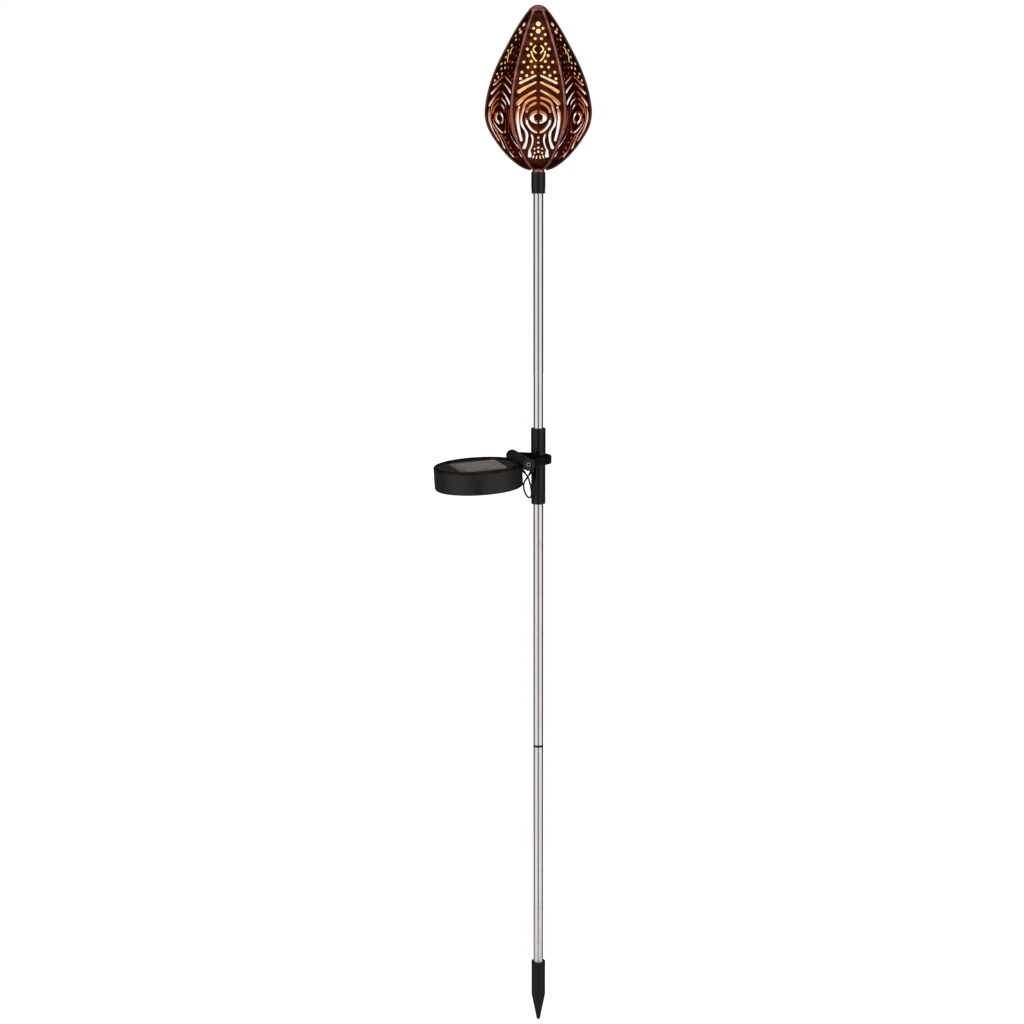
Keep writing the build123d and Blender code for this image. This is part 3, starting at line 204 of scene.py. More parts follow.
class PanelSettings(PropertyGroup):
    silicon: FloatVectorProperty(
        name="Silicon", description="Colour of the solar cell", default=(0.290, 0.245, 0.215), subtype="COLOR"
    )
    fingers: IntProperty(name="Fingers", description="Number of the cell's thin conductors", default=22)
    finger_width: FloatProperty(
        name="Finger width",
        description="Width of a thin conductor",
        default=0.00014,
        unit="LENGTH",
        precision=5,
    )
    busbar_width: FloatProperty(
        name="Busbar width",
        description="Width of a wide conductor",
        default=0.0010,
        unit="LENGTH",
        precision=5,
    )


class LanternSettings(PropertyGroup):
    dark_copper: FloatVectorProperty(
        name="Dark copper",
        description="Colour of the aged sheet",
        default=(0.040, 0.0080, 0.0036),
        subtype="COLOR",
    )
    warm_copper: FloatVectorProperty(
        name="Warm copper",
        description="Colour where the sheet is rubbed",
        default=(0.150, 0.030, 0.0125),
        subtype="COLOR",
    )
    bead_copper: FloatVectorProperty(
        name="Bead copper",
        description="Colour of the seams' beads",
        default=(0.360, 0.130, 0.102),
        subtype="COLOR",
    )
    inside: FloatVectorProperty(
        name="Inside",
        description="Colour of the sheet's inner face",
        default=(0.34, 0.11, 0.03),
        subtype="COLOR",
    )
    glow: FloatVectorProperty(
        name="Glow", description="Colour of the lamp's light", default=(1.0, 0.56, 0.17), subtype="COLOR"
    )
    # Glow strength also sets the painted lamplight glow on the lantern's inner face.
    glow_strength: FloatProperty(
        name="Glow strength", description="Strength of the lamp's light", default=1.0
    )


class CableSettings(PropertyGroup):
    diameter: FloatProperty(
        name="Diameter",
        description="Diameter of the light's cable",
        default=0.0018,
        unit="LENGTH",
        precision=5,
    )
    boot_length: FloatProperty(
        name="Boot length",
        description="Length of the tapered boot at each end",
        default=0.0030,
        unit="LENGTH",
        precision=5,
    )


class TorchSettings(PropertyGroup):
    stage: PointerProperty(type=StageSettings, name="Stage", description="Camera, floor and light")
    pole: PointerProperty(type=PoleSettings, name="Pole", description="Tubes")
    plastic: PointerProperty(type=PlasticSettings, name="Plastic", description="Moulded parts")
    panel: PointerProperty(type=PanelSettings, name="Panel", description="Solar panel")
    lantern: PointerProperty(type=LanternSettings, name="Lantern", description="Copper head")
    cable: PointerProperty(type=CableSettings, name="Cable", description="Cable between panel and pole")


# ---- Node helpers ----
def feed(tree, socket, value):
    """Join or set one input."""
    if isinstance(value, NodeSocket):
        tree.links.new(value, socket)
    else:
        socket.default_value = value


def place_node(tree, kind, inputs=(), **settings):
    """A node with its settings and its (input, value) pairs."""
    node = tree.nodes.new(kind)
    for key, value in settings.items():
        setattr(node, key, value)
    for key, value in inputs:
        feed(tree, node.inputs[key], value)
    return node


def calc(tree, operation, *values):
    node = place_node(tree, "ShaderNodeMath", operation=operation)
    for socket, value in zip(node.inputs, values):
        feed(tree, socket, value)
    return node.outputs[0]


def blend_colours(tree, factor, first, second, mode="MIX"):
    node = place_node(tree, "ShaderNodeMix", data_type="RGBA", blend_type=mode)
    for socket, value in ((node.inputs[0], factor), (node.inputs[6], first), (node.inputs[7], second)):
        if not isinstance(value, NodeSocket) and hasattr(value, "__len__"):
            value = (*value, 1.0)
        feed(tree, socket, value)
    return node.outputs[2]


def map_range(tree, value, low, high, new_low=0.0, new_high=1.0, smooth=False):
    node = place_node(tree, "ShaderNodeMapRange", interpolation_type="SMOOTHSTEP" if smooth else "LINEAR")
    for key, number in zip((0, 1, 2, 3, 4), (value, low, high, new_low, new_high)):
        feed(tree, node.inputs[key], number)
    return node.outputs[0]


def noise(tree, vector, scale, detail=2.0, roughness=0.5):
    inputs = [("Vector", vector), ("Scale", scale), ("Detail", detail), ("Roughness", roughness)]
    return place_node(tree, "ShaderNodeTexNoise", inputs).outputs["Fac"]


def stretch(tree, vector, scale):
    return place_node(tree, "ShaderNodeMapping", [("Vector", vector), ("Scale", scale)]).outputs[0]


def new_group(name, inputs, outputs):
    group = bpy.data.node_groups.new(name, "ShaderNodeTree")
    for label, kind, value in inputs:
        socket = group.interface.new_socket(name=label, in_out="INPUT", socket_type=kind)
        if value is not None:
            socket.default_value = value
    for label, kind in outputs:
        group.interface.new_socket(name=label, in_out="OUTPUT", socket_type=kind)
    start = group.nodes.new("NodeGroupInput").outputs
    end = group.nodes.new("NodeGroupOutput").inputs
    return group, start, end


def use_group(tree, name, inputs):
    node = tree.nodes.new("ShaderNodeGroup")
    node.node_tree = bpy.data.node_groups[name]
    for key, value in inputs:
        feed(tree, node.inputs[key], value)
    return node.outputs


VECTOR, FLOAT = "NodeSocketVector", "NodeSocketFloat"


def make_moulded_grain():
    """Fine grain and slow tone changes of a moulded surface."""
    group, start, end = new_group(
        "Moulded grain",
        [("Place", VECTOR, None), ("Grain size", FLOAT, 0.0004)],
        [("Height", FLOAT), ("Tone", FLOAT)],
    )
    scale = calc(group, "DIVIDE", 1.0, start["Grain size"])
    fine = noise(group, start["Place"], scale, 3.0, 0.6)
    coarse = noise(group, start["Place"], calc(group, "MULTIPLY", scale, 0.22), 2.0)
    flow = noise(group, stretch(group, start["Place"], (1.0, 1.0, 0.45)), 55.0, 3.0, 0.55)
    group.links.new(calc(group, "ADD", fine, calc(group, "MULTIPLY", coarse, 0.6)), end["Height"])
    group.links.new(map_range(group, flow, 0.35, 0.65), end["Tone"])


def make_polished_lines():
    """Fine lines along the pole from polishing, and a few short scuffs."""
    group, start, end = new_group(
        "Polished lines",
        [("Place", VECTOR, None), ("Spacing", FLOAT, 0.0002)],
        [("Height", FLOAT), ("Haze", FLOAT), ("Scuff", FLOAT)],
    )
    along = stretch(group, start["Place"], (1.0, 1.0, 0.012))
    lines = noise(group, along, calc(group, "DIVIDE", 1.0, start["Spacing"]), 2.0, 0.7)
    haze = noise(group, stretch(group, start["Place"], (1.0, 1.0, 0.25)), 140.0, 3.0, 0.6)
    scuffs = noise(group, stretch(group, start["Place"], (1.0, 1.0, 0.08)), 900.0, 1.0)
    patches = noise(group, start["Place"], 60.0, 2.0)
    spots = calc(
        group, "MULTIPLY", map_range(group, scuffs, 0.62, 0.72), map_range(group, patches, 0.52, 0.66)
    )
    group.links.new(lines, end["Height"])
    group.links.new(map_range(group, haze, 0.3, 0.7), end["Haze"])
    group.links.new(spots, end["Scuff"])


def make_line_at():
    """A soft thin line where a value passes a level."""
    group, start, end = new_group(
        "Thin line",
        [("Value", FLOAT, 0.0), ("Level", FLOAT, 0.0), ("Width", FLOAT, 0.0003)],
        [("Mask", FLOAT)],
    )
    off = calc(group, "ABSOLUTE", calc(group, "SUBTRACT", start["Value"], start["Level"]))
    half = calc(group, "MULTIPLY", start["Width"], 0.5)
    group.links.new(map_range(group, off, half, calc(group, "MULTIPLY", half, 0.4)), end["Mask"])


def make_panel_place():
    """Where a point lies on the panel: out from the hinge, across, over its rim, and from the middle."""
    group, start, end = new_group(
        "Panel place",
        [("Place", VECTOR, None)],
        [("Vector", VECTOR), ("Out", FLOAT), ("Across", FLOAT), ("Height", FLOAT), ("From middle", FLOAT)],
    )
    moved = place_node(group, "ShaderNodeVectorMath", operation="SUBTRACT")
    group.links.new(start["Place"], moved.inputs[0])
    moved.inputs[1].default_value = HINGE
    turned = place_node(group, "ShaderNodeVectorRotate", [("Angle", DROOP)], rotation_type="Y_AXIS")
    group.links.new(moved.outputs[0], turned.inputs["Vector"])
    parts = place_node(group, "ShaderNodeSeparateXYZ", [(0, turned.outputs[0])]).outputs
    out = calc(group, "MULTIPLY", parts["X"], -1.0)
    aside = calc(group, "SUBTRACT", out, PANEL_RADIUS)
    squares = calc(group, "ADD", calc(group, "MULTIPLY", aside, aside), calc(group, "POWER", parts["Y"], 2.0))
    group.links.new(turned.outputs[0], end["Vector"])
    group.links.new(out, end["Out"])
    group.links.new(parts["Y"], end["Across"])
    group.links.new(parts["Z"], end["Height"])
    group.links.new(calc(group, "SQRT", squares), end["From middle"])


def make_lantern_place():
    """Where a point lies on the lantern: how near a seam, how high, and whether the face looks inwards."""
    group, start, end = new_group(
        "Lantern place",
        [("Place", VECTOR, None), ("Normal", VECTOR, None)],
        [("Near seam", FLOAT), ("Rise", FLOAT), ("Inside", FLOAT)],
    )
    parts = place_node(group, "ShaderNodeSeparateXYZ", [(0, start["Place"])]).outputs
    turn = calc(group, "SUBTRACT", calc(group, "ARCTAN2", parts["Y"], parts["X"]), PETAL_TURN)
    sixth = calc(group, "ADD", calc(group, "DIVIDE", turn, radians(60.0)), 6.5)
    share = calc(
        group,
        "MULTIPLY",
        calc(group, "ABSOLUTE", calc(group, "SUBTRACT", calc(group, "FRACT", sixth), 0.5)),
        2.0,
    )
    level = place_node(group, "ShaderNodeCombineXYZ", [("X", parts["X"]), ("Y", parts["Y"])])
    facing = place_node(group, "ShaderNodeVectorMath", operation="DOT_PRODUCT")
    group.links.new(start["Normal"], facing.inputs[0])
    group.links.new(level.outputs[0], facing.inputs[1])
    group.links.new(share, end["Near seam"])
    group.links.new(map_range(group, parts["Z"], PETAL_LOW.z, PETAL_HIGH.z), end["Rise"])
    group.links.new(map_range(group, facing.outputs["Value"], 0.002, -0.002), end["Inside"])


def make_copper_ageing():
    """Cloudy ageing and small pits of a plated copper sheet."""
    group, start, end = new_group(
        "Copper ageing",
        [("Place", VECTOR, None)],
        [("Cloud", FLOAT), ("Pits", FLOAT), ("Streaks", FLOAT)],
    )
    cloud = noise(group, start["Place"], 95.0, 4.0, 0.62)
    pits = noise(group, start["Place"], 1500.0, 2.0, 0.6)
    streaks = noise(group, stretch(group, start["Place"], (1.0, 1.0, 0.18)), 420.0, 3.0, 0.6)
    group.links.new(map_range(group, cloud, 0.36, 0.64), end["Cloud"])
    group.links.new(pits, end["Pits"])
    group.links.new(map_range(group, streaks, 0.4, 0.68), end["Streaks"])


def make_groups():
    make_moulded_grain()
    make_polished_lines()
    make_line_at()
    make_panel_place()
    make_lantern_place()
    make_copper_ageing()


def start_material(name, **constants):
    """A new material with its plain values; returns it, its tree, its shader and the place on the piece."""
    material = bpy.data.materials.new(name)
    material.use_nodes = True
    tree = material.node_tree
    shader = tree.nodes["Principled BSDF"]
    for key, value in constants.items():
        socket = shader.inputs[key.replace("_", " ")]
        socket.default_value = (*value, 1.0) if hasattr(value, "__len__") and len(value) == 3 else value
    place = place_node(tree, "ShaderNodeTexCoord").outputs["Object"]
    return material, tree, shader, place


def add_bump(tree, shader, height, depth, strength):
    bump = place_node(
        tree, "ShaderNodeBump", [("Height", height), ("Distance", depth), ("Strength", strength)]
    )
    tree.links.new(bump.outputs[0], shader.inputs["Normal"])


def finish_node(names, material):
    for name in names:
        slots = frame["nodes"][name].data.materials
        slots.clear()
        slots.append(material)


def add_piece(name, mesh, material, body):
    piece = bpy.data.objects.new(name, mesh)
    bpy.context.scene.collection.objects.link(piece)
    mesh.materials.clear()
    mesh.materials.append(material)
    if body:
        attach(piece, body)
    return piece


def mesh_from(model, name, smooth=True):
    bmesh.ops.recalc_face_normals(model, faces=model.faces)
    mesh = bpy.data.meshes.new(name)
    model.to_mesh(mesh)
    model.free()
    if smooth:
        mesh.polygons.foreach_set("use_smooth", [True] * len(mesh.polygons))
    return mesh


def settings():
    return bpy.context.scene.garden_torch


# ---- Materials ----
def moulded_plastic(name, colour, grain, roughness, grain_depth, shine=0.5):
    material, tree, shader, place = start_material(name, Specular_IOR_Level=shine)
    marks = use_group(tree, "Moulded grain", [("Place", place), ("Grain size", grain)])
    light = [min(1.0, part * LIGHT_PATCHES + 0.001) for part in colour]
    tree.links.new(blend_colours(tree, marks["Tone"], list(colour), light), shader.inputs["Base Color"])
    tree.links.new(
        map_range(tree, marks["Tone"], 0.0, 1.0, roughness - 0.05, roughness + 0.06),
        shader.inputs["Roughness"],
    )
    add_bump(tree, shader, marks["Height"], grain_depth, 0.35)
    return material, tree, shader, place, marks


def make_pole_steel():
    values = settings().pole
    material, tree, shader, place = start_material("pole steel", Metallic=1.0)
    marks = use_group(tree, "Polished lines", [("Place", place), ("Spacing", values.line_spacing)])
    height = place_node(tree, "ShaderNodeSeparateXYZ", [(0, place)]).outputs["Z"]
    foot = map_range(tree, height, 0.10, 0.0, 0.0, 1.0, smooth=True)
    dulled = [part * 0.86 for part in values.steel]
    colour = blend_colours(tree, calc(tree, "MULTIPLY", marks["Haze"], 0.5), list(values.steel), dulled)
    colour = blend_colours(tree, marks["Scuff"], colour, (0.50, 0.48, 0.465))
    tree.links.new(colour, shader.inputs["Base Color"])
    sheen = map_range(tree, marks["Haze"], 0.0, 1.0, 0.07, 0.15)
    sheen = calc(tree, "ADD", sheen, calc(tree, "MULTIPLY", marks["Scuff"], 0.12))
    sheen = calc(tree, "ADD", sheen, calc(tree, "MULTIPLY", marks["Height"], 0.04))
    sheen = calc(tree, "ADD", sheen, calc(tree, "MULTIPLY", foot, values.frosting))
    tree.links.new(sheen, shader.inputs["Roughness"])
    return material


def make_small_steel(name, colour, roughness):
    material, tree, shader, place = start_material(name, Metallic=1.0)
    marks = use_group(tree, "Polished lines", [("Place", place), ("Spacing", 0.0004)])
    worn = [part * 0.7 for part in colour]
    tree.links.new(blend_colours(tree, marks["Haze"], colour, worn), shader.inputs["Base Color"])
    tree.links.new(
        map_range(tree, marks["Haze"], 0.0, 1.0, roughness, roughness + 0.14), shader.inputs["Roughness"]
    )
    add_bump(tree, shader, marks["Height"], 0.00001, 0.3)
    return material


def make_bolt_steel():
    """Plated steel, near-black and rougher in the middle of the head."""
    material, tree, shader, place = start_material("bolt steel", Metallic=1.0)
    parts = place_node(tree, "ShaderNodeSeparateXYZ", [(0, place)]).outputs
    over = calc(tree, "POWER", calc(tree, "SUBTRACT", parts["Z"], HINGE.z), 2.0)
    along = calc(tree, "POWER", calc(tree, "SUBTRACT", parts["X"], HINGE.x), 2.0)
    out = calc(tree, "SQRT", calc(tree, "ADD", over, along))
    middle = map_range(tree, out, 0.0014, 0.0011)
    marks = use_group(tree, "Moulded grain", [("Place", place), ("Grain size", 0.0003)])
    plate = blend_colours(tree, marks["Tone"], (0.18, 0.18, 0.18), (0.28, 0.28, 0.28))
    tree.links.new(blend_colours(tree, middle, plate, (0.006, 0.006, 0.006)), shader.inputs["Base Color"])
    tree.links.new(map_range(tree, middle, 0.0, 1.0, 0.30, 0.75), shader.inputs["Roughness"])
    add_bump(tree, shader, marks["Height"], 0.00001, 0.3)
    return material


def make_shell_plastic():
    """The panel's shell, with the fine dark joints where bezel, shell and cover meet."""
    values = settings().plastic
    material, tree, shader, place = moulded_plastic(
        "panel shell", values.cover, values.grain, 0.38, 0.00002, shine=0.22
    )[:4]
    where = use_group(tree, "Panel place", [("Place", place)])
    upper = use_group(
        tree, "Thin line", [("Value", where["Height"]), ("Level", -0.0026), ("Width", 0.0005)]
    )["Mask"]
    lower = use_group(
        tree, "Thin line", [("Value", where["Height"]), ("Level", -0.0140), ("Width", 0.0004)]
    )["Mask"]
    joint = calc(tree, "MAXIMUM", upper, lower)
    colour = shader.inputs["Base Color"].links[0].from_socket
    tree.links.new(blend_colours(tree, joint, colour, (0.006, 0.006, 0.007)), shader.inputs["Base Color"])
    rough = shader.inputs["Roughness"].links[0].from_socket
    tree.links.new(
        calc(tree, "MAXIMUM", rough, calc(tree, "MULTIPLY", joint, 0.85)), shader.inputs["Roughness"]
    )
    return material


def make_bezel_plastic():
    """A dark ring, a little worn along its outer edge."""
    values = settings().plastic
    material, tree, shader, place, marks = moulded_plastic(
        "panel bezel", [part * DULLER for part in values.body], values.grain, 0.28, 0.00001, shine=0.06
    )
    where = use_group(tree, "Panel place", [("Place", place)])
    rim = use_group(
        tree, "Thin line", [("Value", where["From middle"]), ("Level", PANEL_RADIUS), ("Width", 0.0012)]
    )["Mask"]
    worn = calc(tree, "MULTIPLY", rim, map_range(tree, marks["Tone"], 0.3, 1.0, 0.0, 0.35))
    colour = shader.inputs["Base Color"].links[0].from_socket
    tree.links.new(blend_colours(tree, worn, colour, (0.030, 0.030, 0.032)), shader.inputs["Base Color"])
    return material


def make_spike_plastic():
    """Matt plastic, scratched and a little dusty towards the tip."""
    values = settings().plastic
    material, tree, shader, place = moulded_plastic(
        "spike plastic", values.spike, 0.0006, 0.50, 0.00003, shine=0.10
    )[:4]
    height = place_node(tree, "ShaderNodeSeparateXYZ", [(0, place)]).outputs["Z"]
    low = map_range(tree, height, SPIKE_LOW.z + 0.035, SPIKE_LOW.z)
    scratches = noise(tree, stretch(tree, place, (1.0, 1.0, 0.1)), 700.0, 2.0, 0.7)
    rubbed = calc(
        tree, "MULTIPLY", map_range(tree, scratches, 0.58, 0.7), map_range(tree, low, 0.0, 1.0, 0.12, 0.6)
    )
    colour = shader.inputs["Base Color"].links[0].from_socket
    tree.links.new(blend_colours(tree, rubbed, colour, (0.013, 0.012, 0.011)), shader.inputs["Base Color"])
    return material


def make_rubber(name, colour):
    material, tree, shader, place = start_material(name, Specular_IOR_Level=0.2)
    marks = use_group(tree, "Moulded grain", [("Place", place), ("Grain size", 0.00025)])
    tree.links.new(
        blend_colours(tree, marks["Tone"], colour, [part * 1.8 for part in colour]),
        shader.inputs["Base Color"],
    )
    tree.links.new(map_range(tree, marks["Tone"], 0.0, 1.0, 0.42, 0.58), shader.inputs["Roughness"])
    add_bump(tree, shader, marks["Height"], 0.00002, 0.3)
    return material


def make_sheet_copper():
    """Aged copper sheet, cloudy outside and darkest beside the seams; its inner face has a painted lamplight
    glow, an emission by height rather than light from the lamp.
    """
    values = settings().lantern
    material, tree, shader, place = start_material("lantern copper", Specular_Tint=(0.60, 0.30, 0.22))
    normal = place_node(tree, "ShaderNodeNewGeometry").outputs["Normal"]
    where = use_group(tree, "Lantern place", [("Place", place), ("Normal", normal)])
    age = use_group(tree, "Copper ageing", [("Place", place)])
    rubbed = map_range(tree, age["Cloud"], 0.25, 0.85)
    colour = blend_colours(tree, rubbed, list(values.dark_copper), list(values.warm_copper))
    colour = blend_colours(tree, calc(tree, "MULTIPLY", age["Streaks"], 0.35), colour, (0.055, 0.014, 0.012))
    near = map_range(tree, where["Near seam"], 0.80, 0.97)
    colour = blend_colours(tree, calc(tree, "MULTIPLY", near, 0.55), colour, (0.016, 0.0055, 0.0045))
    foot = map_range(tree, where["Rise"], 0.20, 0.02, 0.0, 1.0, smooth=True)
    colour = blend_colours(tree, calc(tree, "MULTIPLY", foot, 0.12), colour, (0.16, 0.085, 0.060))
    colour = blend_colours(tree, where["Inside"], colour, list(values.inside))
    tree.links.new(colour, shader.inputs["Base Color"])
    tree.links.new(map_range(tree, where["Inside"], 0.0, 1.0, 1.0, 0.15), shader.inputs["Metallic"])
    rough = map_range(tree, age["Cloud"], 0.0, 1.0, 0.50, 0.38)
    tree.links.new(calc(tree, "ADD", rough, calc(tree, "MULTIPLY", foot, -0.06)), shader.inputs["Roughness"])
    # Painted lamplight: the inner face gets an emission by height from the ramp, patchy low down and dimmed
    # where the face turns edgeways to the view.
    ramp = place_node(tree, "ShaderNodeValToRGB", [(0, where["Rise"])])
    ends = ramp.color_ramp.elements
    for number, (rise, tint) in enumerate(PAINTED_LAMPLIGHT):
        stop = ends[number] if number < 2 else ends.new(rise)
        stop.position = rise
        stop.color = (*tint, 1.0)
    painted_glow = blend_colours(tree, where["Inside"], (0.0, 0.0, 0.0), ramp.outputs[0])
    patches = noise(tree, place, 95.0, 3.0, 0.62)
    patchy = map_range(tree, patches, 0.34, 0.64, 0.30, 1.25)
    steady = map_range(tree, where["Rise"], 0.42, 0.62, 0.0, 0.75)
    patchy = blend_colours(tree, steady, patchy, (1.0, 1.0, 1.0))
    painted_glow = blend_colours(tree, 1.0, painted_glow, patchy, "MULTIPLY")
    edgeways = place_node(tree, "ShaderNodeLayerWeight").outputs["Facing"]
    edgeways = map_range(tree, edgeways, 0.20, 0.52, smooth=True)
    dimmed = blend_colours(tree, 1.0, painted_glow, (0.20, 0.050, 0.025), "MULTIPLY")
    tree.links.new(blend_colours(tree, edgeways, painted_glow, dimmed), shader.inputs["Emission Color"])
    # The painted glow takes its strength from the lamp's glow strength.
    shader.inputs["Emission Strength"].default_value = values.glow_strength
    add_bump(
        tree, shader, calc(tree, "ADD", age["Pits"], calc(tree, "MULTIPLY", age["Cloud"], 1.5)), 0.00006, 0.4
    )
    return material


def make_bead_copper(name, strength):
    """Copper of the seams' beads, the cap and the ferrule, brighter with strength."""
    values = settings().lantern
    material, tree, shader, place = start_material(name, Metallic=0.85)
    age = use_group(tree, "Copper ageing", [("Place", place)])
    dark = [part * 0.45 * strength for part in values.bead_copper]
    light = [min(1.0, part * 1.15 * strength) for part in values.bead_copper]
    colour = blend_colours(tree, age["Cloud"], dark, light)
    colour = blend_colours(tree, calc(tree, "MULTIPLY", age["Streaks"], 0.3), colour, (0.055, 0.017, 0.014))
    tree.links.new(colour, shader.inputs["Base Color"])
    tree.links.new(map_range(tree, age["Cloud"], 0.0, 1.0, 0.45, 0.30), shader.inputs["Roughness"])
    add_bump(tree, shader, age["Pits"], 0.00004, 0.4)
    return material


def make_window_clear():
    """Clear window with fine wiping marks."""
    material, tree, shader, place = start_material(
        "clear window", Metallic=0.0, Transmission_Weight=1.0, IOR=1.49, Alpha=0.12
    )
    haze = noise(tree, stretch(tree, place, (0.3, 1.0, 1.0)), 380.0, 3.0, 0.6)
    tint = blend_colours(tree, map_range(tree, haze, 0.3, 0.7), (0.97, 0.96, 0.94), (0.92, 0.90, 0.87))
    tree.links.new(tint, shader.inputs["Base Color"])
    tree.links.new(map_range(tree, haze, 0.3, 0.7, 0.0, 0.012), shader.inputs["Roughness"])
    return material


def make_cell_silicon():
    """Dark laminated silicon: cut strips, crystal patches and an edge left bare."""
    values = settings().panel
    material, tree, shader, place = start_material("solar cell", Coat_Weight=0.6, Coat_Roughness=0.1)
    where = use_group(tree, "Panel place", [("Place", place)])
    patches = place_node(tree, "ShaderNodeTexVoronoi", [("Vector", where["Vector"]), ("Scale", 230.0)])
    shade = place_node(tree, "ShaderNodeSeparateColor", [(0, patches.outputs["Color"])]).outputs[0]
    darker = [part * 0.72 for part in values.silicon]
    colour = blend_colours(tree, map_range(tree, shade, 0.0, 1.0, 0.0, 0.5), list(values.silicon), darker)
    strips = calc(tree, "FRACT", calc(tree, "DIVIDE", calc(tree, "ADD", where["Across"], 0.1), 0.0115))
    cut = use_group(tree, "Thin line", [("Value", strips), ("Level", 0.5), ("Width", 0.05)])["Mask"]
    colour = blend_colours(tree, calc(tree, "MULTIPLY", cut, 0.6), colour, (0.11, 0.092, 0.080))
    outer = map_range(tree, where["Out"], PANEL_RADIUS + 0.0165, PANEL_RADIUS + 0.0175)
    colour = blend_colours(tree, calc(tree, "MULTIPLY", outer, 0.75), colour, (0.100, 0.088, 0.050))
    tree.links.new(colour, shader.inputs["Base Color"])
    tree.links.new(map_range(tree, shade, 0.0, 1.0, 0.32, 0.5), shader.inputs["Roughness"])
    return material


def make_lens_glow():
    """The lamp's warm dome, brightest at its top."""
    values = settings().lantern
    material, tree, shader, place = start_material(
        "lamp lens", Roughness=0.2, Emission_Strength=values.glow_strength * 1.5
    )
    height = place_node(tree, "ShaderNodeSeparateXYZ", [(0, place)]).outputs["Z"]
    rise = map_range(tree, height, LENS_LOW.z, LENS_HIGH.z)
    frost = noise(tree, place, 900.0, 2.0)
    glow = blend_colours(tree, rise, [part * 0.6 for part in values.glow], list(values.glow))
    tree.links.new(glow, shader.inputs["Emission Color"])
    tree.links.new(
        blend_colours(tree, frost, (0.95, 0.86, 0.66), (1.0, 0.93, 0.78)), shader.inputs["Base Color"]
    )
    return material


def make_white_plastic():
    material, tree, shader, place = start_material("white plastic")
    marks = use_group(tree, "Moulded grain", [("Place", place), ("Grain size", 0.0004)])
    tree.links.new(
        blend_colours(tree, marks["Tone"], (0.72, 0.70, 0.66), (0.80, 0.79, 0.76)),
        shader.inputs["Base Color"],
    )
    tree.links.new(map_range(tree, marks["Tone"], 0.0, 1.0, 0.42, 0.55), shader.inputs["Roughness"])
    add_bump(tree, shader, marks["Height"], 0.00002, 0.3)
    return material


def make_board_green():
    """Solder mask over copper tracks."""
    material, tree, shader, place = start_material("circuit board", Coat_Weight=0.4)
    where = use_group(tree, "Panel place", [("Place", place)])
    tracks = place_node(
        tree, "ShaderNodeTexBrick", [("Vector", where["Vector"]), ("Scale", 160.0), ("Mortar Size", 0.12)]
    )
    colour = blend_colours(tree, tracks.outputs["Fac"], (0.012, 0.075, 0.030), (0.030, 0.150, 0.060))
    tree.links.new(colour, shader.inputs["Base Color"])
    tree.links.new(
        map_range(tree, noise(tree, place, 500.0), 0.3, 0.7, 0.30, 0.45), shader.inputs["Roughness"]
    )
    add_bump(tree, shader, tracks.outputs["Fac"], 0.00004, 0.5)
    return material


def make_battery_sleeve():
    """Printed shrink sleeve: a green body between two silver bands."""
    material, tree, shader, place = start_material("battery sleeve", Coat_Weight=0.5)
    low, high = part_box("battery")
    across = place_node(tree, "ShaderNodeSeparateXYZ", [(0, place)]).outputs["Y"]
    share = map_range(tree, across, low.y, high.y)
    ends = calc(tree, "MAXIMUM", map_range(tree, share, 0.90, 0.905), map_range(tree, share, 0.12, 0.115))
    tone = map_range(tree, noise(tree, place, 120.0, 3.0), 0.35, 0.65)
    body = blend_colours(tree, tone, (0.030, 0.150, 0.055), (0.045, 0.200, 0.080))
    tree.links.new(blend_colours(tree, ends, body, (0.45, 0.45, 0.44)), shader.inputs["Base Color"])
    tree.links.new(calc(tree, "MULTIPLY", ends, 0.9), shader.inputs["Metallic"])
    tree.links.new(map_range(tree, tone, 0.0, 1.0, 0.28, 0.40), shader.inputs["Roughness"])
    return material


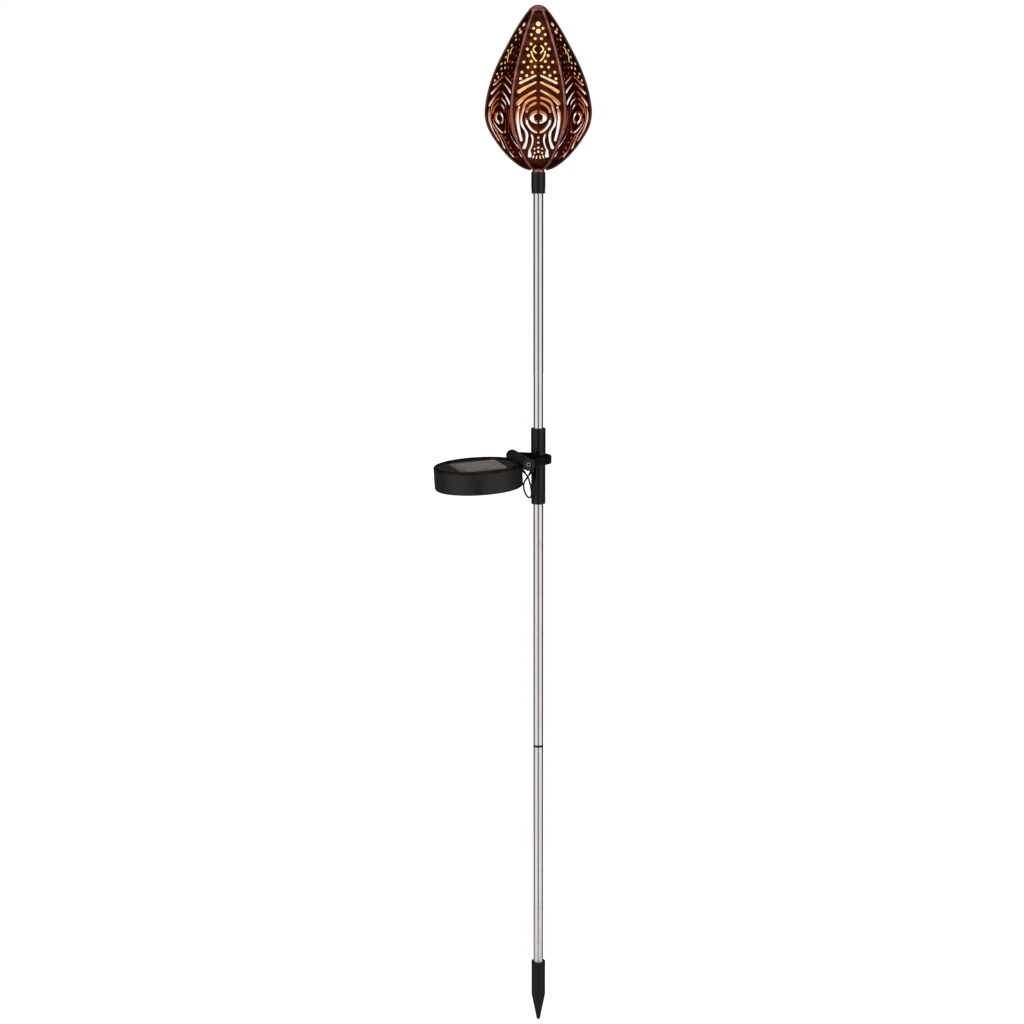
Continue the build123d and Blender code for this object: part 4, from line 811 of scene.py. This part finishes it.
# ---- Operators ----
class TORCH_OT_stage(Operator):
    """Make the camera, the pale floor and the studio light"""

    bl_idname = "garden_torch.stage"
    bl_label = "Stage"

    def execute(self, context):
        values = settings().stage
        scene = context.scene
        scene.view_settings.view_transform = "Standard"
        make_groups()

        camera = bpy.data.objects.new("camera", bpy.data.cameras.new("camera"))
        scene.collection.objects.link(camera)
        turn = Matrix.Rotation(values.camera_turn, 3, "Z")
        camera.location = turn @ Vector((0.0, -values.camera_distance, values.camera_height))
        camera.rotation_euler = (radians(90.0) - values.camera_tilt, 0.0, values.camera_turn)
        camera.data.lens = values.lens
        camera.data.shift_x = values.side_shift
        camera.data.clip_start = 0.01
        scene.camera = camera

        model = bmesh.new()
        bmesh.ops.create_circle(model, cap_ends=True, segments=96, radius=values.floor_radius)
        bmesh.ops.translate(model, verts=model.verts, vec=(0.0, 0.0, SPIKE_LOW.z))
        floor = bpy.data.objects.new("floor", mesh_from(model, "floor", smooth=False))
        scene.collection.objects.link(floor)
        material, tree, shader, place = start_material("floor paper", Roughness=0.9, Specular_IOR_Level=0.0)
        fibre = map_range(tree, noise(tree, place, 40.0, 4.0), 0.3, 0.7)
        tree.links.new(
            blend_colours(tree, fibre, (0.90, 0.90, 0.90), (0.93, 0.93, 0.93)), shader.inputs["Base Color"]
        )
        shader.inputs["Emission Color"].default_value = (1.0, 1.0, 1.0, 1.0)
        shader.inputs["Emission Strength"].default_value = 0.6
        floor.data.materials.append(material)
        floor.visible_glossy = False

        self.make_studio(scene, values)
        key = bpy.data.objects.new("key light", bpy.data.lights.new("key light", "AREA"))
        scene.collection.objects.link(key)
        key.data.energy = values.key_power
        key.data.size = 0.9
        key.location = turn @ Vector((-1.1, -1.3, 1.9))
        key.rotation_euler = (Vector((0.0, 0.0, 0.6)) - key.location).to_track_quat("-Z", "Y").to_euler()
        return {"FINISHED"}

    def make_studio(self, scene, values):
        """White to the eye; in reflections, bright panels to both sides and dark ones in front and behind."""
        world = bpy.data.worlds.new("studio")
        scene.world = world
        world.use_nodes = True
        tree = world.node_tree
        direction = place_node(tree, "ShaderNodeTexCoord").outputs["Generated"]
        parts = place_node(tree, "ShaderNodeSeparateXYZ", [(0, direction)]).outputs
        around = calc(
            tree,
            "SUBTRACT",
            calc(tree, "ARCTAN2", parts["Y"], parts["X"]),
            radians(-90.0) + values.camera_turn,
        )
        aside = calc(tree, "ABSOLUTE", calc(tree, "WRAP", around, radians(180.0), radians(-180.0)))
        front = map_range(tree, aside, radians(9.0), radians(22.0), smooth=True)
        back = map_range(tree, aside, radians(95.0), radians(76.0), smooth=True)
        sides = calc(tree, "MULTIPLY", front, back)
        dark = map_range(tree, parts["Z"], -0.42, -0.05, values.dark_panels * LOW_PANELS, values.dark_panels)
        level = place_node(tree, "ShaderNodeMix", [(0, sides), (2, dark), (3, values.side_panels)]).outputs[0]
        above = map_range(tree, parts["Z"], 0.65, 0.85, smooth=True)
        light = place_node(tree, "ShaderNodeMix", [(0, above), (2, level), (3, values.overhead)]).outputs[0]
        seen = place_node(tree, "ShaderNodeLightPath").outputs["Is Camera Ray"]
        strength = place_node(tree, "ShaderNodeMix", [(0, seen), (2, light), (3, 1.0)]).outputs[0]
        tree.links.new(strength, tree.nodes["Background"].inputs["Strength"])
        tree.nodes["Background"].inputs["Color"].default_value = (1.0, 1.0, 1.0, 1.0)


class TORCH_OT_cable(Operator):
    """Lay the light's cable and its two tapered boots"""

    bl_idname = "garden_torch.cable"
    bl_label = "Cable"

    def execute(self, context):
        values = settings().cable
        route = [Vector((x, y, SLEEVE_LOW.z + height)) for x, y, height in CABLE_ROUTE]
        line = bpy.data.curves.new("cable line", "CURVE")
        line.dimensions = "3D"
        spline = line.splines.new("NURBS")
        spline.points.add(len(route) - 1)
        for control, place in zip(spline.points, route):
            control.co = (*place, 1.0)
        spline.order_u = 3
        spline.use_endpoint_u = True
        spline.resolution_u = 10
        guide = bpy.data.objects.new("cable line", line)
        context.scene.collection.objects.link(guide)
        followed = bpy.data.meshes.new_from_object(guide)
        line.bevel_depth = values.diameter / 2
        line.bevel_resolution = 6
        line.use_fill_caps = True
        tube = bpy.data.meshes.new_from_object(guide)
        bpy.data.objects.remove(guide)
        model = bmesh.new()
        model.from_mesh(tube)
        bmesh.ops.remove_doubles(model, verts=model.verts, dist=0.000001)
        rubber = make_rubber("cable rubber", (0.010, 0.010, 0.011))
        cable = add_piece("torch_cable", mesh_from(model, "torch_cable"), rubber, None)
        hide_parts("light_cable")
        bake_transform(cable)
        self.make_boot("panel_cable_boot", route[0], route[1], values, rubber, "solar_panel")
        self.make_boot("sleeve_cable_boot", route[-1], route[-2], values, rubber, "upper_section")
        finish_node(["panel_grommet", "sleeve_grommet"], make_rubber("grommet rubber", (0.012, 0.012, 0.013)))
        finish_node(
            ["panel_lead", "pole_lead", "cover_seal"], make_rubber("lead rubber", (0.014, 0.013, 0.013))
        )
        return {"FINISHED"}

    def make_boot(self, name, start, towards, values, material, body):
        """A tapered boot round the cable where it leaves a grommet."""
        inner = values.diameter / 2 + BOOT_CLEARANCE
        thin_end = [(inner + BOOT_THIN_WALL, values.boot_length), (inner, values.boot_length)]
        outline = [(inner, BOOT_OUTLINE[0][1])] + BOOT_OUTLINE + thin_end
        model = bmesh.new()
        ring = [model.verts.new((radius, 0.0, height)) for radius, height in outline]
        edges = [model.edges.new(pair) for pair in zip(ring, ring[1:] + ring[:1])]
        bmesh.ops.spin(
            model,
            geom=ring + edges,
            cent=(0, 0, 0),
            axis=(0, 0, 1),
            angle=radians(360.0),
            steps=32,
            use_merge=True,
        )
        turn = (towards - start).to_track_quat("Z", "Y").to_matrix().to_4x4()
        bmesh.ops.transform(model, matrix=Matrix.Translation(start) @ turn, verts=model.verts)
        add_piece(name, mesh_from(model, name), material, body)


class TORCH_OT_pole(Operator):
    """Finish the tubes, the coupler, the spike and the collar"""

    bl_idname = "garden_torch.pole"
    bl_label = "Pole and spike"

    def execute(self, context):
        values = settings().plastic
        finish_node(["lower_tube", "middle_tube", "upper_tube"], make_pole_steel())
        finish_node(["ground_spike"], make_spike_plastic())
        body = moulded_plastic("moulded body", values.body, values.grain, 0.22, 0.00001, shine=0.22)[0]
        finish_node(["head_collar"], body)
        duller = moulded_plastic(
            "duller body", [part * DULLER for part in values.body], values.grain, 0.26, 0.00001, shine=0.22
        )[0]
        finish_node(["pole_coupler", "connector_sleeve", "panel_yoke"], duller)
        return {"FINISHED"}


class TORCH_OT_panel(Operator):
    """Finish the solar panel, and lay the cell's conductors"""

    bl_idname = "garden_torch.panel"
    bl_label = "Solar panel"

    def execute(self, context):
        finish_node(["panel_housing", "panel_cover"], make_shell_plastic())
        finish_node(["panel_bezel"], make_bezel_plastic())
        finish_node(["panel_window"], make_window_clear())
        finish_node(["solar_cell"], make_cell_silicon())
        values = settings().plastic
        knob = moulded_plastic("switch plastic", values.body, values.grain, 0.38, 0.00002)[0]
        finish_node(["switch_knob", "switch_body", "battery_cradle"], knob)
        self.make_conductors()
        return {"FINISHED"}

    def make_conductors(self):
        """Thin printed fingers across the cell and two wide busbars over them."""
        values = settings().panel
        low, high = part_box("solar_cell")
        side = high.y - low.y
        model = bmesh.new()
        spacing = side * 0.94 / (values.fingers - 1)
        strips = [
            (
                0.0, (number - (values.fingers - 1) / 2) * spacing, side * 0.95, values.finger_width
            ) for number in range(values.fingers)
        ]
        for along, across, length, width in strips:
            self.add_strip(model, along, across, length, width)
        for along in (-side / 4, side / 4):
            self.add_strip(model, along, 0.0, values.busbar_width, side * 0.96)
        lift = 0.00004
        top = Vector((high.x + low.x, high.y + low.y, high.z + low.z)) / 2
        thickness = CELL_THICKNESS
        turn = Matrix.Rotation(-DROOP, 4, "Y")
        raised = turn @ Vector((0.0, 0.0, thickness / 2 + lift))
        bmesh.ops.transform(model, matrix=Matrix.Translation(top + raised) @ turn, verts=model.verts)
        silver = make_small_steel("printed silver", (0.42, 0.40, 0.37), 0.3)
        add_piece(
            "cell_conductors",
            mesh_from(model, "cell_conductors", smooth=False),
            silver,
            "solar_panel",
        )

    def add_strip(self, model, along, across, length, width):
        made = bmesh.ops.create_cube(model, size=1.0)["verts"]
        bmesh.ops.scale(model, vec=(length, width, 0.00005), verts=made)
        bmesh.ops.translate(model, vec=(along, across, 0.0), verts=made)


class TORCH_OT_fixings(Operator):
    """Finish the hinge's bolt, nut and washers, the screws and the contacts"""

    bl_idname = "garden_torch.fixings"
    bl_label = "Fixings"

    def execute(self, context):
        plated = make_small_steel("plated steel", (0.72, 0.72, 0.71), 0.16)
        finish_node(["hinge_nut", "hinge_washers", "cover_screws"], plated)
        finish_node(["hinge_bolt"], make_bolt_steel())
        spring = make_small_steel("spring steel", (0.60, 0.58, 0.54), 0.25)
        finish_node(["battery_plate_contact", "battery_leaf_contact"], spring)
        finish_node(["battery"], make_battery_sleeve())
        finish_node(["circuit_board"], make_board_green())
        chips = moulded_plastic("chip resin", (0.016, 0.016, 0.017), 0.0003, 0.45, 0.00002)[0]
        finish_node(["board_parts"], chips)
        return {"FINISHED"}


class TORCH_OT_lantern(Operator):
    """Finish the copper lantern, its cap and its lamp"""

    bl_idname = "garden_torch.lantern"
    bl_label = "Lantern"

    def execute(self, context):
        numbers = range(1, 7)
        finish_node([f"lantern_petal_{number}" for number in numbers], make_sheet_copper())
        # Painted light and shade: the seams towards the front get the full bead copper and the others a copy
        # at 0.3 of its brightness, by position and not by finish.
        painted_lit, shaded = make_bead_copper("seam copper", 1.0), make_bead_copper("dull seam copper", 0.3)
        for number in numbers:
            low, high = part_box(f"lantern_seam_{number}")
            finish_node([f"lantern_seam_{number}"], painted_lit if (low.y + high.y) / 2 < -SEAM_IN_FRONT else shaded)
        finish_node(["lantern_cap"], make_bead_copper("cap copper", 0.7))
        finish_node(["head_ferrule"], make_bead_copper("ferrule copper", 1.5))
        finish_node(["led_lens"], make_lens_glow())
        finish_node(["led_holder", "led_board"], make_white_plastic())
        return {"FINISHED"}


class TORCH_PT_panel(Panel):
    """Buttons that make the garden torch"""

    bl_label = "Garden torch"
    bl_idname = "TORCH_PT_panel"
    bl_space_type = "VIEW_3D"
    bl_region_type = "UI"
    bl_category = "Garden torch"

    def draw(self, context):
        values = context.scene.garden_torch
        for operator, part in STEPS:
            box = self.layout.box()
            box.operator(operator.bl_idname)
            group = getattr(values, part, None)
            for name in getattr(group, "__annotations__", {}):
                box.prop(group, name)


STEPS = [
    (TORCH_OT_stage, "stage"),
    (TORCH_OT_cable, "cable"),
    (TORCH_OT_pole, "pole"),
    (TORCH_OT_panel, "panel"),
    (TORCH_OT_fixings, "plastic"),
    (TORCH_OT_lantern, "lantern"),
]
GROUPS = [
    StageSettings, PoleSettings, PlasticSettings, PanelSettings, LanternSettings, CableSettings, TorchSettings
]
CLASSES = GROUPS + [operator for operator, part in STEPS] + [TORCH_PT_panel]


def register():
    for item in CLASSES:
        bpy.utils.register_class(item)
    bpy.types.Scene.garden_torch = PointerProperty(type=TorchSettings)


def unregister():
    del bpy.types.Scene.garden_torch
    for item in reversed(CLASSES):
        bpy.utils.unregister_class(item)


def main():
    register()
    for operator, part in STEPS:
        getattr(bpy.ops.garden_torch, operator.bl_idname.split(".")[1])()


if __name__ == "__main__":
    main()
